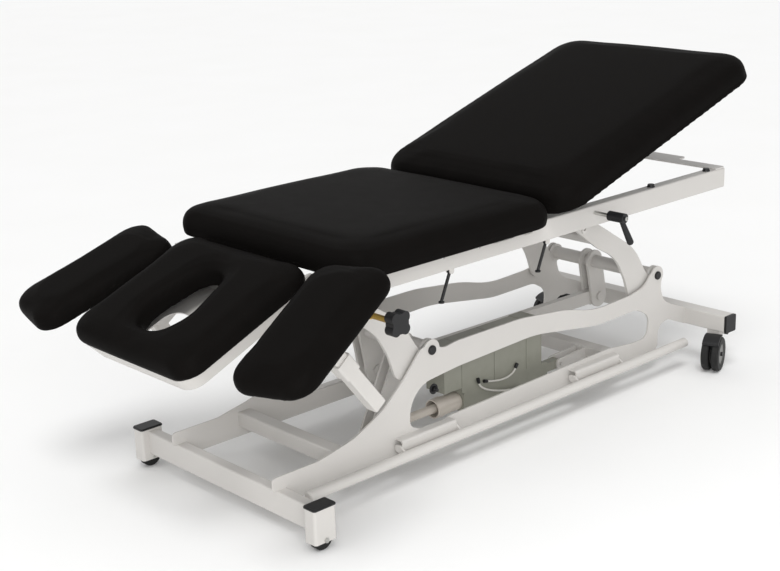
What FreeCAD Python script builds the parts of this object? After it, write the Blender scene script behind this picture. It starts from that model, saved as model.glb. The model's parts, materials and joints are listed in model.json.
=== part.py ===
import FreeCAD, Part
import math
import os

# Chiropractic table: a steel hi-lo base, two rocking arms, a top frame and five cushions.
# X runs along the table towards the raised end, Y across it, Z up. Lengths are millimetres.

V = FreeCAD.Vector
ACROSS = V(0, 1, 0)
ALONG = V(1, 0, 0)
UP = V(0, 0, 1)
NEAR = -1
FAR = 1

# Shared values
overrun = 40.0
seat_gap = 0.3
running_fit = 0.08
tube_wall = 3.0
plate_thickness = 5.0
bend_radius = 4.0
bolt_radius = 5.0

# Base frame
front_x = -850.0
post_depth = 63.0
post_width = 39.0
post_height = 82.0
post_ground_gap = 22.0
post_corner = 7.0
base_half_width = 354.0
post_cap_height = 5.0
post_cap_lip = 1.5
front_beam_depth = 30.0
front_beam_height = 60.0
front_beam_setback = 20.0
front_beam_rise = 38.0
front_wheel_radius = 27.0
front_wheel_width = 22.0
front_wheel_axle_radius = 3.5
rear_beam_x = 712.0
rear_beam_depth = 47.0
rear_beam_height = 50.0
rear_beam_bottom = 113.0
beam_end_inset = 18.0
beam_plug_length = 8.0
side_plate_y = 195.0
side_plate_bottom = 62.0
cross_tube_size = 40.0
front_cross_tube_x = -620.0
front_cross_tube_bottom = 88.0
rear_cross_tube_x = 390.0
rear_cross_tube_bottom = 70.0

# Lift linkage
front_pivot_x = -329.0
pivot_span = 905.0
front_pivot_z = 305.0
rear_pivot_drop = 14.0
lift_reach = 360.0
lift_rise = 250.0
boss_radius = 27.0
axle_radius = 10.0
axle_cap_radius = 12.0
axle_cap_height = 6.0
hub_radius = 19.0
arm_y = 181.0
arm_thickness = 8.0
arm_boss_radius = 26.0
arm_top_radius = 22.0
crank_y = 48.0
crank_reach = 22.0
crank_drop = 113.0
crank_width = 66.0
crank_thickness = 8.0
crank_pin_radius = 8.0
crank_cap_radius = 13.0
coupler_height = 40.0
coupler_width = 20.0
coupler_boss_radius = 22.0
arm_brace_radius = 16.0

# Lift actuator
actuator_y = -88.0
lever_reach = 110.0
lever_drop = 215.0
lever_thickness = 6.0
lever_width = 48.0
rod_radius = 12.0
rod_eye_radius = 17.0
rod_eye_width = 25.0
rod_reach = 495.0
tube_outer_radius = 24.5
tube_bore_radius = 22.0
tube_front_x = -200.0
tube_end_wall = 40.0
collar_length = 26.0
collar_radius = 27.0
clevis_x = 262.0
clevis_z = 86.0
clevis_lug_thickness = 6.0
housing_front_x = -140.0
housing_length = 330.0
housing_height = 58.0
housing_width = 62.0
box_front_x = -213.0
box_length = 373.0
box_height = 138.0
box_width = 66.0
box_corner = 8.0
end_cover_share = 0.84
case_seam_shares = (0.17, 0.5)
seam_depth = 1.5
seam_width = 2.0
cable_routes = (((52.0, 136.0), (14.0, 118.5), (-58.0, 129.0)), ((-90.0, 133.0), (-52.0, 103.0), (46.0, 76.0)))
cable_radius = 2.75
plug_radius = 5.0
plug_length = 14.0

# Foot bars
bar_radius = 13.5
bar_y = 240.0
bar_z = 78.0
bar_front_x = -775.0
bar_length = 1431.0
bar_cap_length = 14.0
bracket_reach = 26.0
bracket_height = 52.0
bracket_length = 186.0
bracket_bottom = 60.0
bracket_sheet = 3.0
front_bracket_x = -460.0
rear_bracket_x = 188.0
bar_pivot_radius = 5.0
bar_pivot_y = 210.0
bar_pivot_z = 92.0
bar_arm_thickness = 5.0
bar_arm_width = 16.0

# Castors
castor_x = 735.0
castor_inset = 39.0
castor_turn = 21.0
castor_radius = 50.0
castor_trail = 38.0
castor_wheel_width = 21.0
castor_wheel_gap = 8.0
castor_hub_radius = 30.0
castor_axle_radius = 6.0
castor_stem_radius = 8.0
castor_block_height = 12.5
castor_block_size = 40.0
castor_head_radius = 13.0
castor_head_share = 1.88
castor_hood_gap = 3.0
castor_hood_wall = 4.0
pedal_pin_reach = 34.0
pedal_pin_z = 91.0
pedal_rise = 9.0
pedal_reach = 80.0
pedal_width = 50.0
pedal_thickness = 6.0

# Top frame
rail_y = 270.0
rail_front_x = -738.0
rail_length = 1522.0
rail_bottom = 523.0
rail_height = 56.0
rail_flange = 30.0
rail_sheet = 3.0
rail_hole_radius = 8.0
rail_hole_spacing = 121.0
rail_hole_front = 385.0
rail_slot_length = 85.0
rail_slot_start = 551.0
rail_slot_height = 14.0
rail_window_length = 34.0
rail_window_height = 16.0
rail_window_start = 665.0
lift_tube_radius = 15.0
cross_member_height = 20.0
cross_member_width = 40.0
spring_lug_width = 20.0
mid_cross_member_x = -42.0
rear_cross_member_x = 158.0
lift_lug_width = 38.0
end_plate_length = 44.0
end_plate_thickness = 4.0
end_tongue_length = 38.0
end_tongue_width = 220.0
bumper_radius = 11.0
bumper_height = 8.0
bumper_setback = 15.0
front_bumper_x = 460.0
rear_bumper_x = 715.0

# Cushions
pad_width = 687.0
pad_thickness = 80.0
pad_corner = 78.0
pad_underside = rail_bottom + rail_height
mid_pad_front_x = -696.0
mid_pad_length = 674.0
mid_pad_corner = 58.0
back_hinge_x = 1.0
back_hinge_rise = 5.0
back_pad_setback = 6.0
back_bar_setback = 27.4
back_pad_lift = 4.0
back_pad_length = 869.0
back_tilt = 17.5
head_pad_length = 393.0
head_pad_width = 455.0
head_pad_thickness = 56.0
head_pad_corner = 50.0
head_pad_x = -705.0
head_pad_z = 572.0
head_tilt = 22.7
head_hinge_x = -722.0
head_hinge_z = 549.0
arm_pad_length = 385.0
arm_pad_width = 210.0
arm_pad_thickness = 53.0
arm_pad_corner = 52.0
arm_pad_y = 410.0
arm_pad_splay = 12.4

# Cushion edge: share of the thickness drawn in, share of the thickness up
pad_edge_shares = ((0.12, 0.0), (0.03, 0.12), (0.0, 0.28), (0.01, 0.5), (0.065, 0.72),
                   (0.19, 0.87), (0.42, 0.95), (0.95, 0.99))
pad_crown_share = 2.0
pad_crown_width_share = 0.32
pad_corner_growth_share = 0.45

# Face opening of the head cushion, as shares of its length and width
face_hole_shares = ((-0.245, 0.0, 0.16), (-0.30, 0.105, 0.12), (-0.62, 0.165, 0.2), (-0.80, 0.10, 0.14),
                    (-0.80, -0.10, 0.14), (-0.62, -0.165, 0.2), (-0.30, -0.105, 0.12))
face_hole_flare = 14.0

# Head section
tray_depth = 42.0
tray_setback = 60.0
tray_length = 326.0
tray_width = 414.0
tray_taper = 16.0
tray_wall = 3.0
tray_corner = 40.0
hinge_pin_radius = 8.0
hinge_ear_radius = 14.0
head_ear_y = 150.0
gas_radius = 10.0
gas_rod_radius = 4.0
gas_eye_radius = 8.0
gas_pivot_distance = 122.0
gas_frame_angle = -9.0
gas_lug_drop = 12.0
gas_cylinder_share = 0.62

# Armrests
stud_x = -640.0
stud_z = 500.0
stud_radius = 7.0
stud_collar_radius = 9.5
stud_collar_length = 48.0
hanger_width = 50.0
hanger_thickness = 6.0
arm_post_y = 350.0
arm_post_size = 36.0
sleeve_gap = 0.4
sleeve_wall = 4.0
sleeve_length = 46.0
post_lean = 12.6
post_foot_length = 146.0
post_attach_share = 0.43
near_arm_x = -691.5
near_arm_z = 607.7
near_arm_tilt = 25.6
far_arm_x = -697.0
far_arm_z = 555.1
far_arm_tilt = 23.0
pad_plate_length = 210.0
pad_plate_width = 110.0
knob_radius = 32.0
knob_length = 25.0
knob_y = 400.0
knob_lobe_radius = 13.0

# Back section
back_bar_size = 20.0
back_bar_y = 215.0
back_bar_length = 700.0
back_pin_radius = 3.5
back_ear_width = 11.0
clamp_x = 204.0
clamp_z = 559.0
clamp_radius = 5.0
clamp_reach = 48.0
clamp_hub_radius = 13.0
clamp_hub_length = 50.0
strap_pin_radius = 4.0
strap_pin_drop = 11.0
strap_width = 20.0
strap_thickness = 5.0
strap_y = 232.0
back_raise = 14.5
back_lowest = 0.6
handle_radius = 9.0
handle_back = 29.0
handle_out = 10.0
handle_drop = 68.0
release_rod_radius = 4.0
release_rod_length = 76.0
release_eye_radius = 7.0
front_release_x = -318.0
rear_release_x = 28.0
release_lean = 24.0

parts = {}


def keep(name, *shapes):
    """Store the solids of one named piece."""
    solids = []
    for shape in shapes:
        solids.extend(shape.Solids)
    parts[name] = Part.makeCompound(solids)


def box(x0, x1, y0, y1, z0, z1):
    """Block between two corners."""
    corner = V(min(x0, x1), min(y0, y1), min(z0, z1))
    return Part.makeBox(abs(x1 - x0), abs(y1 - y0), abs(z1 - z0), corner)


def rod(start, end, radius, bore=0.0):
    """Round bar or tube from one point to another."""
    axis = end - start
    bar = Part.makeCylinder(radius, axis.Length, start, axis)
    if bore:
        bar = bar.cut(Part.makeCylinder(bore, axis.Length, start, axis))
    return bar


def outline(corners, place):
    """Closed wire through corners (u, w, radius) with tangent arcs, put in space by place."""
    count = len(corners)
    trims = []
    for i in range(count):
        here = V(corners[i][0], corners[i][1], 0)
        back = V(corners[i - 1][0], corners[i - 1][1], 0) - here
        ahead = V(corners[(i + 1) % count][0], corners[(i + 1) % count][1], 0) - here
        turn = math.pi - back.getAngle(ahead)
        room = 0.495 * min(back.Length, ahead.Length)
        cut = min(corners[i][2] * math.tan(turn / 2), room)
        back.normalize()
        ahead.normalize()
        first = here + back * cut
        last = here + ahead * cut
        radius = cut / math.tan(turn / 2) if turn > 0.001 else 0.0
        middle = here
        if radius:
            inward = back + ahead
            inward.normalize()
            middle = here + inward * (radius / math.cos(turn / 2) - radius)
        trims.append((first, middle, last, cut))
    edges = []
    for i in range(count):
        first, middle, last, cut = trims[i]
        if cut > 0:
            edges.append(Part.Arc(place(first), place(middle), place(last)).toShape())
        follow = trims[(i + 1) % count][0]
        if (follow - last).Length > running_fit / 1000:
            edges.append(Part.LineSegment(place(last), place(follow)).toShape())
    return Part.Wire(edges)


def side_prism(corners, y0, y1):
    """Outline in X and Z, thick across the table from y0 to y1."""
    wire = outline(corners, lambda p: V(p.x, y0, p.y))
    return Part.Face(wire).extrude(V(0, y1 - y0, 0))


def flat_prism(corners, z0, z1):
    """Outline in X and Y, thick upward from z0 to z1."""
    wire = outline(corners, lambda p: V(p.x, p.y, z0))
    return Part.Face(wire).extrude(V(0, 0, z1 - z0))


def end_prism(corners, x0, x1):
    """Outline in Y and Z, thick along the table from x0 to x1."""
    wire = outline(corners, lambda p: V(x0, p.x, p.y))
    return Part.Face(wire).extrude(V(x1 - x0, 0, 0))


def rectangle(u0, u1, w0, w1, radius):
    """Corners of a rectangle with one corner radius."""
    return ((u0, w0, radius), (u1, w0, radius), (u1, w1, radius), (u0, w1, radius))


def box_tube_across(x0, x1, y0, y1, z0, z1, wall):
    """Rectangular tube that runs across the table."""
    outer = side_prism(rectangle(x0, x1, z0, z1, bend_radius), y0, y1)
    inner = side_prism(rectangle(x0 + wall, x1 - wall, z0 + wall, z1 - wall, bend_radius - wall / 2), y0, y1)
    return outer.cut(inner)


def link(ax, az, bx, bz, width, y0, y1):
    """Flat bar with round ends between two pivots, seen from the side."""
    along = V(bx - ax, bz - az, 0)
    along.normalize()
    normal = V(-along.y, along.x, 0) * (width / 2)
    reach = along * (width / 2)
    start = V(ax, az, 0) - reach
    end = V(bx, bz, 0) + reach
    round_end = width / 2 * 0.98
    corners = []
    for point in (start - normal, end - normal, end + normal, start + normal):
        corners.append((point.x, point.y, round_end))
    return side_prism(corners, y0, y1)


def side_rod(x, z, y0, y1, radius, bore=0.0):
    """Round bar or tube across the table."""
    return rod(V(x, y0, z), V(x, y1, z), radius, bore)


def turned(shape, x, z, degrees):
    """Turn about an axis across the table; a positive angle lifts the front end."""
    moved = shape.copy()
    moved.rotate(V(x, 0, z), ACROSS, degrees)
    return moved


# Places worked out from the sizes
post_rear_x = front_x + post_depth
post_middle_x = front_x + post_depth / 2
post_top = post_ground_gap + post_height
front_beam_x0 = front_x + front_beam_setback
front_beam_x1 = front_beam_x0 + front_beam_depth
front_beam_top = front_beam_rise + front_beam_height
rear_pivot_x = front_pivot_x + pivot_span
rear_pivot_z = front_pivot_z - rear_pivot_drop
front_top_x = front_pivot_x - lift_reach
front_top_z = front_pivot_z + lift_rise
rear_top_x = rear_pivot_x - lift_reach
rear_top_z = rear_pivot_z + lift_rise
front_crank_x = front_pivot_x + crank_reach
front_crank_z = front_pivot_z - crank_drop
rear_crank_x = rear_pivot_x + crank_reach
rear_crank_z = rear_pivot_z - crank_drop
lever_x = front_pivot_x - lever_reach
lever_z = front_pivot_z - lever_drop
plate_inner_y = side_plate_y - plate_thickness / 2
plate_outer_y = side_plate_y + plate_thickness / 2
rail_top = rail_bottom + rail_height
rail_rear_x = rail_front_x + rail_length
back_hinge_z = rail_top + back_hinge_rise
rear_beam_half_length = base_half_width - beam_end_inset
castor_y = rear_beam_half_length - castor_inset
castor_axle_x = castor_x - castor_trail


def side_plate(side):
    """Laser-cut side plate: an arch over a long window, bosses for the lift axles."""
    drop = front_pivot_z - side_plate_bottom
    outer_shares = (
        (-0.563, 0.279, 0.04), (-0.41, 0.28, 0.5), (-0.29, 0.365, 0.6), (-0.182, 0.551, 0.8), (-0.107, 0.79, 0.6),
        (-0.038, 1.06, 0.15), (0.008, 1.06, 0.1), (0.04, 0.975, 0.25), (0.098, 1.003, 0.8),
        (0.36, 1.0, 2.0), (0.56, 0.915, 2.0), (0.69, 0.79, 1.5), (0.865, 0.81, 0.9),
        (0.94, 0.86, 0.4), (0.975, 1.03, 0.15), (1.03, 0.975, 0.12), (1.018, 0.78, 0.2),
        (1.036, 0.6, 0.2), (1.078, 0.52, 0.1))
    beam_top = rear_beam_bottom + rear_beam_height
    corners = [(front_beam_x1, side_plate_bottom, 0.0), (front_beam_x1, front_beam_top, 0.0),
               (front_pivot_x + outer_shares[0][0] * pivot_span, front_beam_top, 0.0)]
    for along, up, radius in outer_shares:
        corners.append((front_pivot_x + along * pivot_span, side_plate_bottom + up * drop, radius * drop))
    leg_x = front_pivot_x + 1.057 * pivot_span
    corners.append((rear_beam_x, beam_top, 0.0))
    corners.append((rear_beam_x, rear_beam_bottom, 0.0))
    corners.append((leg_x, rear_beam_bottom + cross_tube_size * 0.85, overrun))
    corners.append((front_pivot_x + 1.01 * pivot_span, side_plate_bottom + 0.3 * drop, 0.15 * drop))
    corners.append((front_pivot_x + 1.008 * pivot_span, side_plate_bottom + 0.03 * drop, 0.08 * drop))
    corners.append((front_pivot_x + 0.975 * pivot_span, side_plate_bottom, 0.1 * drop))
    y0 = plate_inner_y * side
    y1 = plate_outer_y * side
    plate = side_prism(corners, y0, y1)
    window_shares = (
        (-0.09, 0.27, 0.1), (-0.083, 0.52, 0.3), (-0.035, 0.68, 0.3), (0.1, 0.725, 0.8),
        (0.42, 0.76, 2.0), (0.7, 0.6, 1.5), (0.9, 0.61, 0.3), (0.962, 0.48, 0.15), (0.955, 0.215, 0.12),
        (0.88, 0.215, 0.3), (0.76, 0.26, 0.3), (0.07, 0.22, 0.3), (0.05, 0.195, 0.1), (-0.05, 0.2, 0.2))
    window = []
    for along, up, radius in window_shares:
        window.append((front_pivot_x + along * pivot_span, side_plate_bottom + up * drop, radius * drop))
    plate = plate.cut(side_prism(window, y0 - overrun * side, y1 + overrun * side))
    for x, z in ((front_pivot_x, front_pivot_z), (rear_pivot_x, rear_pivot_z)):
        plate = plate.fuse(side_rod(x, z, y0, y1, boss_radius))
        plate = plate.cut(side_rod(x, z, y0 - overrun * side, y1 + overrun * side, axle_radius))
    return plate.removeSplitter()


def front_post(side):
    """Upright box tube over an inset wheel."""
    outer_y = base_half_width * side
    inner_y = (base_half_width - post_width) * side
    corners = rectangle(front_x, post_rear_x, min(inner_y, outer_y), max(inner_y, outer_y), post_corner)
    post = flat_prism(corners, post_ground_gap, post_top)
    wall = tube_wall
    hollow = rectangle(front_x + wall, post_rear_x - wall, min(inner_y, outer_y) + wall,
                       max(inner_y, outer_y) - wall, post_corner - wall)
    post = post.cut(flat_prism(hollow, post_ground_gap, post_top))
    middle_y = (inner_y + outer_y) / 2
    bolt = side_rod(post_middle_x, front_wheel_radius, middle_y - post_width, middle_y + post_width,
                    front_wheel_axle_radius)
    return post.cut(bolt)


def front_wheels():
    """Inset wheels, each on a bolt through its post."""
    bolts = []
    for side, word in ((NEAR, "near"), (FAR, "far")):
        middle = (base_half_width - post_width / 2) * side
        half = front_wheel_width / 2
        bore = front_wheel_axle_radius + running_fit
        tyre = side_rod(post_middle_x, front_wheel_radius, middle - half, middle + half, front_wheel_radius, bore)
        edges = [e for e in tyre.Edges if e.Closed and abs(e.Curve.Radius - front_wheel_radius) < running_fit]
        keep("front_wheel_" + word, tyre.makeChamfer(front_wheel_width / 7, edges))
        reach = post_width / 2
        bolt = side_rod(post_middle_x, front_wheel_radius, middle - reach, middle + reach, front_wheel_axle_radius)
        head = side_rod(post_middle_x, front_wheel_radius, outer_face(side), outer_face(side) + tube_wall * side,
                        front_wheel_axle_radius * 1.7)
        bolts.append(bolt.fuse(head))
    keep("front_wheel_bolts", *bolts)


def outer_face(side):
    """Outer face of a front post."""
    return base_half_width * side


def end_caps(axle_ends):
    """Black plastic caps on the front posts, plugs in the rear beam and caps on the axle ends."""
    pieces = list(axle_ends)
    for side in (NEAR, FAR):
        y0 = (base_half_width - post_width) * side
        y1 = base_half_width * side
        lip = post_cap_lip
        corners = rectangle(front_x - lip, post_rear_x + lip, min(y0, y1) - lip, max(y0, y1) + lip, post_corner)
        cap = flat_prism(corners, post_top, post_top + post_cap_height)
        rim = [e for e in cap.Edges if e.BoundBox.ZMin > post_top + post_cap_height - running_fit]
        pieces.append(cap.makeChamfer(post_cap_height * 0.4, rim))
        outer = rear_beam_half_length * side
        plug = side_prism(rectangle(rear_beam_x, rear_beam_x + rear_beam_depth, rear_beam_bottom,
                                    rear_beam_bottom + rear_beam_height, bend_radius),
                          outer, outer + beam_plug_length * side)
        pieces.append(plug)
    keep("frame_end_caps", *pieces)


def base_frame():
    """Beams, posts, side plates and low cross tubes."""
    keep("side_plate_near", side_plate(NEAR))
    keep("side_plate_far", side_plate(FAR))
    inner = base_half_width - post_width
    keep("front_beam", box_tube_across(front_beam_x0, front_beam_x1, -inner, inner, front_beam_rise,
                                       front_beam_top, tube_wall))
    keep("front_posts", front_post(NEAR), front_post(FAR))
    end_caps(lift_axles())
    front_wheels()
    half = rear_beam_half_length
    beam = box_tube_across(rear_beam_x, rear_beam_x + rear_beam_depth, -half, half, rear_beam_bottom,
                           rear_beam_bottom + rear_beam_height, tube_wall)
    for side in (NEAR, FAR):
        size = castor_block_size / 2
        block = box(castor_x - size, castor_x + size, castor_y * side - size, castor_y * side + size,
                    rear_beam_bottom - castor_block_height, rear_beam_bottom)
        beam = beam.fuse(block)
        stem = rod(V(castor_x, castor_y * side, rear_beam_bottom - overrun),
                   V(castor_x, castor_y * side, rear_beam_bottom + tube_wall), castor_stem_radius + running_fit)
        beam = beam.cut(stem)
    keep("rear_beam", beam)
    tubes = []
    for middle, bottom in ((front_cross_tube_x, front_cross_tube_bottom), (rear_cross_tube_x, rear_cross_tube_bottom)):
        tubes.append(box_tube_across(middle - cross_tube_size / 2, middle + cross_tube_size / 2, -plate_inner_y,
                                     plate_inner_y, bottom, bottom + cross_tube_size, tube_wall))
    keep("base_cross_tubes", *tubes)


def lift_axles():
    """Two fixed axles between the side plates, with black caps outside."""
    axles = []
    caps = []
    for x, z in ((front_pivot_x, front_pivot_z), (rear_pivot_x, rear_pivot_z)):
        axles.append(side_rod(x, z, -plate_outer_y, plate_outer_y, axle_radius))
        for side in (NEAR, FAR):
            face = plate_outer_y * side
            cap = side_rod(x, z, face, face + axle_cap_height * side, axle_cap_radius)
            edges = [e for e in cap.Edges if e.Closed and abs(e.BoundBox.Center.y - face) > axle_cap_height / 2]
            caps.append(cap.makeChamfer(axle_cap_height * 0.35, edges))
    keep("lift_axles", *axles)
    return caps


def arch_arm(x, z, side, name):
    """Curved lift arm plate from a base axle up to the top frame."""
    reach_shares = (
        (-0.12, 0.09, 0.1), (-0.255, 0.395, 1.2), (-0.64, 0.74, 1.2), (-0.93, 0.985, 0.3),
        (-1.04, 1.05, 0.1), (-1.055, 0.93, 0.1), (-0.98, 0.815, 0.2), (-0.7, 0.52, 1.0), (-0.49, 0.36, 1.0),
        (-0.37, 0.07, 0.6), (-0.3, -0.22, 0.15), (-0.18, -0.24, 0.15), (-0.02, -0.095, 0.1))
    corners = []
    for along, up, radius in reach_shares:
        corners.append((x + along * lift_reach, z + up * lift_rise, radius * lift_rise))
    y0 = (arm_y - arm_thickness / 2) * side
    y1 = (arm_y + arm_thickness / 2) * side
    arm = side_prism(corners, y0, y1)
    arm = arm.fuse(side_rod(x, z, y0, y1, arm_boss_radius))
    arm = arm.fuse(side_rod(x - lift_reach, z + lift_rise, y0, y1, arm_top_radius))
    arm = arm.cut(side_rod(x, z, y0 - overrun * side, y1 + overrun * side, axle_radius + running_fit))
    arm = arm.cut(side_rod(x - lift_reach, z + lift_rise, y0 - overrun * side, y1 + overrun * side,
                           lift_tube_radius + running_fit))
    keep(name, arm.removeSplitter())


def crank_plate(x, z, hub):
    """Centre crank welded on the hub, with the coupler pin through its lower end."""
    y0 = crank_y + coupler_width / 2 + seat_gap
    y1 = y0 + crank_thickness
    low_x = x + crank_reach
    low_z = z - crank_drop
    plates = []
    for start, end in ((y0, y1), (2 * crank_y - y0, 2 * crank_y - y1)):
        plates.append(link(x, z, low_x, low_z, crank_width, start, end))
    body = hub.fuse(plates)
    body = body.cut(side_rod(x, z, -overrun * 2, overrun * 3, axle_radius + running_fit))
    pin = side_rod(low_x, low_z, 2 * crank_y - y1 - axle_cap_height, y1, crank_pin_radius)
    cap = side_rod(low_x, low_z, 2 * crank_y - y1 - axle_cap_height, 2 * crank_y - y1, crank_cap_radius)
    return body.fuse([pin, cap])


def lift_hubs():
    """Welded tubes on the axles that join each pair of arms and carry the cranks and lever."""
    inner = arm_y - arm_thickness / 2
    for x, z, word in ((front_pivot_x, front_pivot_z, "front"), (rear_pivot_x, rear_pivot_z, "rear")):
        hub = side_rod(x, z, -inner, inner, hub_radius, axle_radius + running_fit)
        body = crank_plate(x, z, hub)
        brace_x = x - 0.52 * lift_reach
        brace_z = z + 0.53 * lift_rise
        if word == "front":
            for side in (NEAR, FAR):
                y0 = actuator_y + side * (rod_eye_width / 2 + seat_gap)
                y1 = y0 + side * lever_thickness
                cheek = link(x, z, lever_x, lever_z, lever_width, y0, y1)
                cheek = cheek.cut(side_rod(x, z, y0 - side * overrun, y1 + side * overrun, axle_radius + running_fit))
                body = body.fuse(cheek)
            half = rod_eye_width / 2 + seat_gap + lever_thickness + bolt_radius
            body = body.fuse(side_rod(lever_x, lever_z, actuator_y - half, actuator_y + half, bolt_radius * 1.4))
        brace = side_rod(brace_x, brace_z, -inner, inner, arm_brace_radius)
        keep(word + "_arm_hub", body.removeSplitter(), brace)


def coupler():
    """Rectangular bar that keeps the two rockers in step."""
    y0 = crank_y - coupler_width / 2
    y1 = crank_y + coupler_width / 2
    half = coupler_height / 2
    dx = rear_crank_x - front_crank_x
    dz = rear_crank_z - front_crank_z
    slope = math.degrees(math.atan2(dz, dx))
    length = math.hypot(dx, dz)
    bar = side_prism(rectangle(front_crank_x, front_crank_x + length, front_crank_z - half, front_crank_z + half,
                               bend_radius), y0, y1)
    bar = turned(bar, front_crank_x, front_crank_z, -slope)
    for x, z, play in ((front_crank_x, front_crank_z, running_fit), (rear_crank_x, rear_crank_z, seat_gap)):
        bar = bar.fuse(side_rod(x, z, y0, y1, coupler_boss_radius))
        bar = bar.cut(side_rod(x, z, y0 - overrun, y1 + overrun, crank_pin_radius + play))
    keep("coupler_bar", bar.removeSplitter())


def actuator():
    """Linear actuator: clevis on the base, housing with tube and control box, rod on the lever."""
    slope = math.degrees(math.atan2(lever_z - clevis_z, clevis_x - lever_x))
    lug_y = tube_outer_radius * 0.5 + seat_gap
    tube_face = rear_cross_tube_x - cross_tube_size / 2
    clevis = []
    low = rear_cross_tube_bottom + seat_gap
    for offset in (-1, 1):
        y0 = actuator_y + offset * lug_y
        y1 = y0 + offset * clevis_lug_thickness
        lug = side_prism(((tube_face, low, 0.0), (tube_face, low + cross_tube_size * 0.9, 0.0),
                          (clevis_x - bolt_radius * 3, clevis_z + bolt_radius * 3, bolt_radius * 2.5),
                          (clevis_x - bolt_radius * 3, clevis_z - bolt_radius * 3, bolt_radius * 2.5)), y0, y1)
        clevis.append(lug)
    wide = lug_y + clevis_lug_thickness
    back = box(tube_face - clevis_lug_thickness, tube_face, actuator_y - wide, actuator_y + wide, low,
               low + cross_tube_size * 0.9)
    pin = side_rod(clevis_x, clevis_z, actuator_y - wide - bolt_radius, actuator_y + wide + bolt_radius,
                   bolt_radius)
    keep("actuator_clevis", clevis[0].fuse([clevis[1], back, pin]).removeSplitter())

    housing_rear = housing_front_x + housing_length
    half = housing_width / 2
    shell = side_prism(rectangle(housing_front_x, housing_rear, clevis_z - housing_height / 2,
                                 clevis_z + housing_height / 2, box_corner), actuator_y - half, actuator_y + half)
    eye = link(housing_rear - bolt_radius, clevis_z, clevis_x, clevis_z, bolt_radius * 5, actuator_y - lug_y + seat_gap,
               actuator_y + lug_y - seat_gap)
    shell = shell.fuse(eye)
    shell = shell.cut(side_rod(clevis_x, clevis_z, actuator_y - half, actuator_y + half, bolt_radius + running_fit))
    inside = V(housing_front_x - overrun, actuator_y, clevis_z)
    inside_end = V(housing_rear - tube_end_wall, actuator_y, clevis_z)
    shell = shell.cut(rod(inside, inside_end, tube_outer_radius))
    tube = rod(V(tube_front_x, actuator_y, clevis_z), inside_end, tube_outer_radius, tube_bore_radius)
    collar = Part.makeCone(tube_bore_radius + tube_wall, collar_radius, collar_length,
                           V(tube_front_x - collar_length, actuator_y, clevis_z), ALONG)
    collar = collar.cut(rod(V(tube_front_x - overrun, actuator_y, clevis_z), V(tube_front_x, actuator_y, clevis_z),
                            tube_bore_radius))
    keep("actuator_housing", turned(shell, clevis_x, clevis_z, slope))
    keep("actuator_tube", turned(tube, clevis_x, clevis_z, slope), turned(collar, clevis_x, clevis_z, slope))
    half = box_width / 2
    box_bottom = clevis_z + housing_height / 2
    case = side_prism(rectangle(box_front_x, box_front_x + box_length, box_bottom, box_bottom + box_height,
                                box_corner), actuator_y - half, actuator_y + half)
    cut_low = box(box_front_x - overrun, housing_front_x - box_corner, actuator_y - box_width, actuator_y + box_width,
                  box_bottom - overrun, box_bottom + box_height * 0.12)
    case = case.cut(cut_low)
    skin = seam_depth
    cover_x = box_front_x + box_length * end_cover_share
    cover = side_prism(rectangle(cover_x, box_front_x + box_length + skin, box_bottom, box_bottom + box_height + skin,
                                 box_corner), actuator_y - half - skin, actuator_y + half + skin)
    case = case.fuse(cover)
    for share in case_seam_shares:
        seam_x = box_front_x + box_length * share
        groove = box(seam_x, seam_x + seam_width, actuator_y - box_width, actuator_y + box_width, box_bottom,
                     box_bottom + box_height + overrun)
        core = box(seam_x - overrun, seam_x + overrun, actuator_y - half + skin, actuator_y + half - skin,
                   box_bottom - overrun, box_bottom + box_height - skin)
        case = case.cut(groove.cut(core))
    keep("control_box", turned(case, clevis_x, clevis_z, slope))

    case_face = actuator_y - half - seat_gap
    cables = []
    for route in cable_routes:
        points = [V(x, case_face - plug_radius, z) for x, z in route]
        arc = Part.Arc(*points)
        path = arc.toShape()
        wire = Part.Wire([path])
        start_run = path.tangentAt(path.FirstParameter)
        end_run = path.tangentAt(path.LastParameter)
        ring = Part.Wire([Part.makeCircle(cable_radius, points[0], start_run)])
        cord = wire.makePipeShell([ring], True, True)
        plug = rod(points[0] - start_run * plug_length, points[0] + start_run, plug_radius)
        socket = rod(points[2] - end_run, points[2] + end_run * plug_length, plug_radius)
        cables.append(cord.fuse([plug, socket]).removeSplitter())
        print("cable radius", round(path.Curve.Radius, 1), "length", round(path.Length, 1))
    keep("actuator_cables", *cables)

    direction = V(clevis_x - lever_x, 0, clevis_z - lever_z)
    direction.normalize()
    start = V(lever_x, actuator_y, lever_z)
    bar = rod(start, start + direction * rod_reach, rod_radius)
    eye = side_rod(lever_x, lever_z, actuator_y - rod_eye_width / 2, actuator_y + rod_eye_width / 2, rod_eye_radius)
    hole = side_rod(lever_x, lever_z, actuator_y - rod_eye_width, actuator_y + rod_eye_width,
                    bolt_radius * 1.4 + running_fit)
    keep("actuator_rod", bar.fuse(eye).cut(hole))


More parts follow.
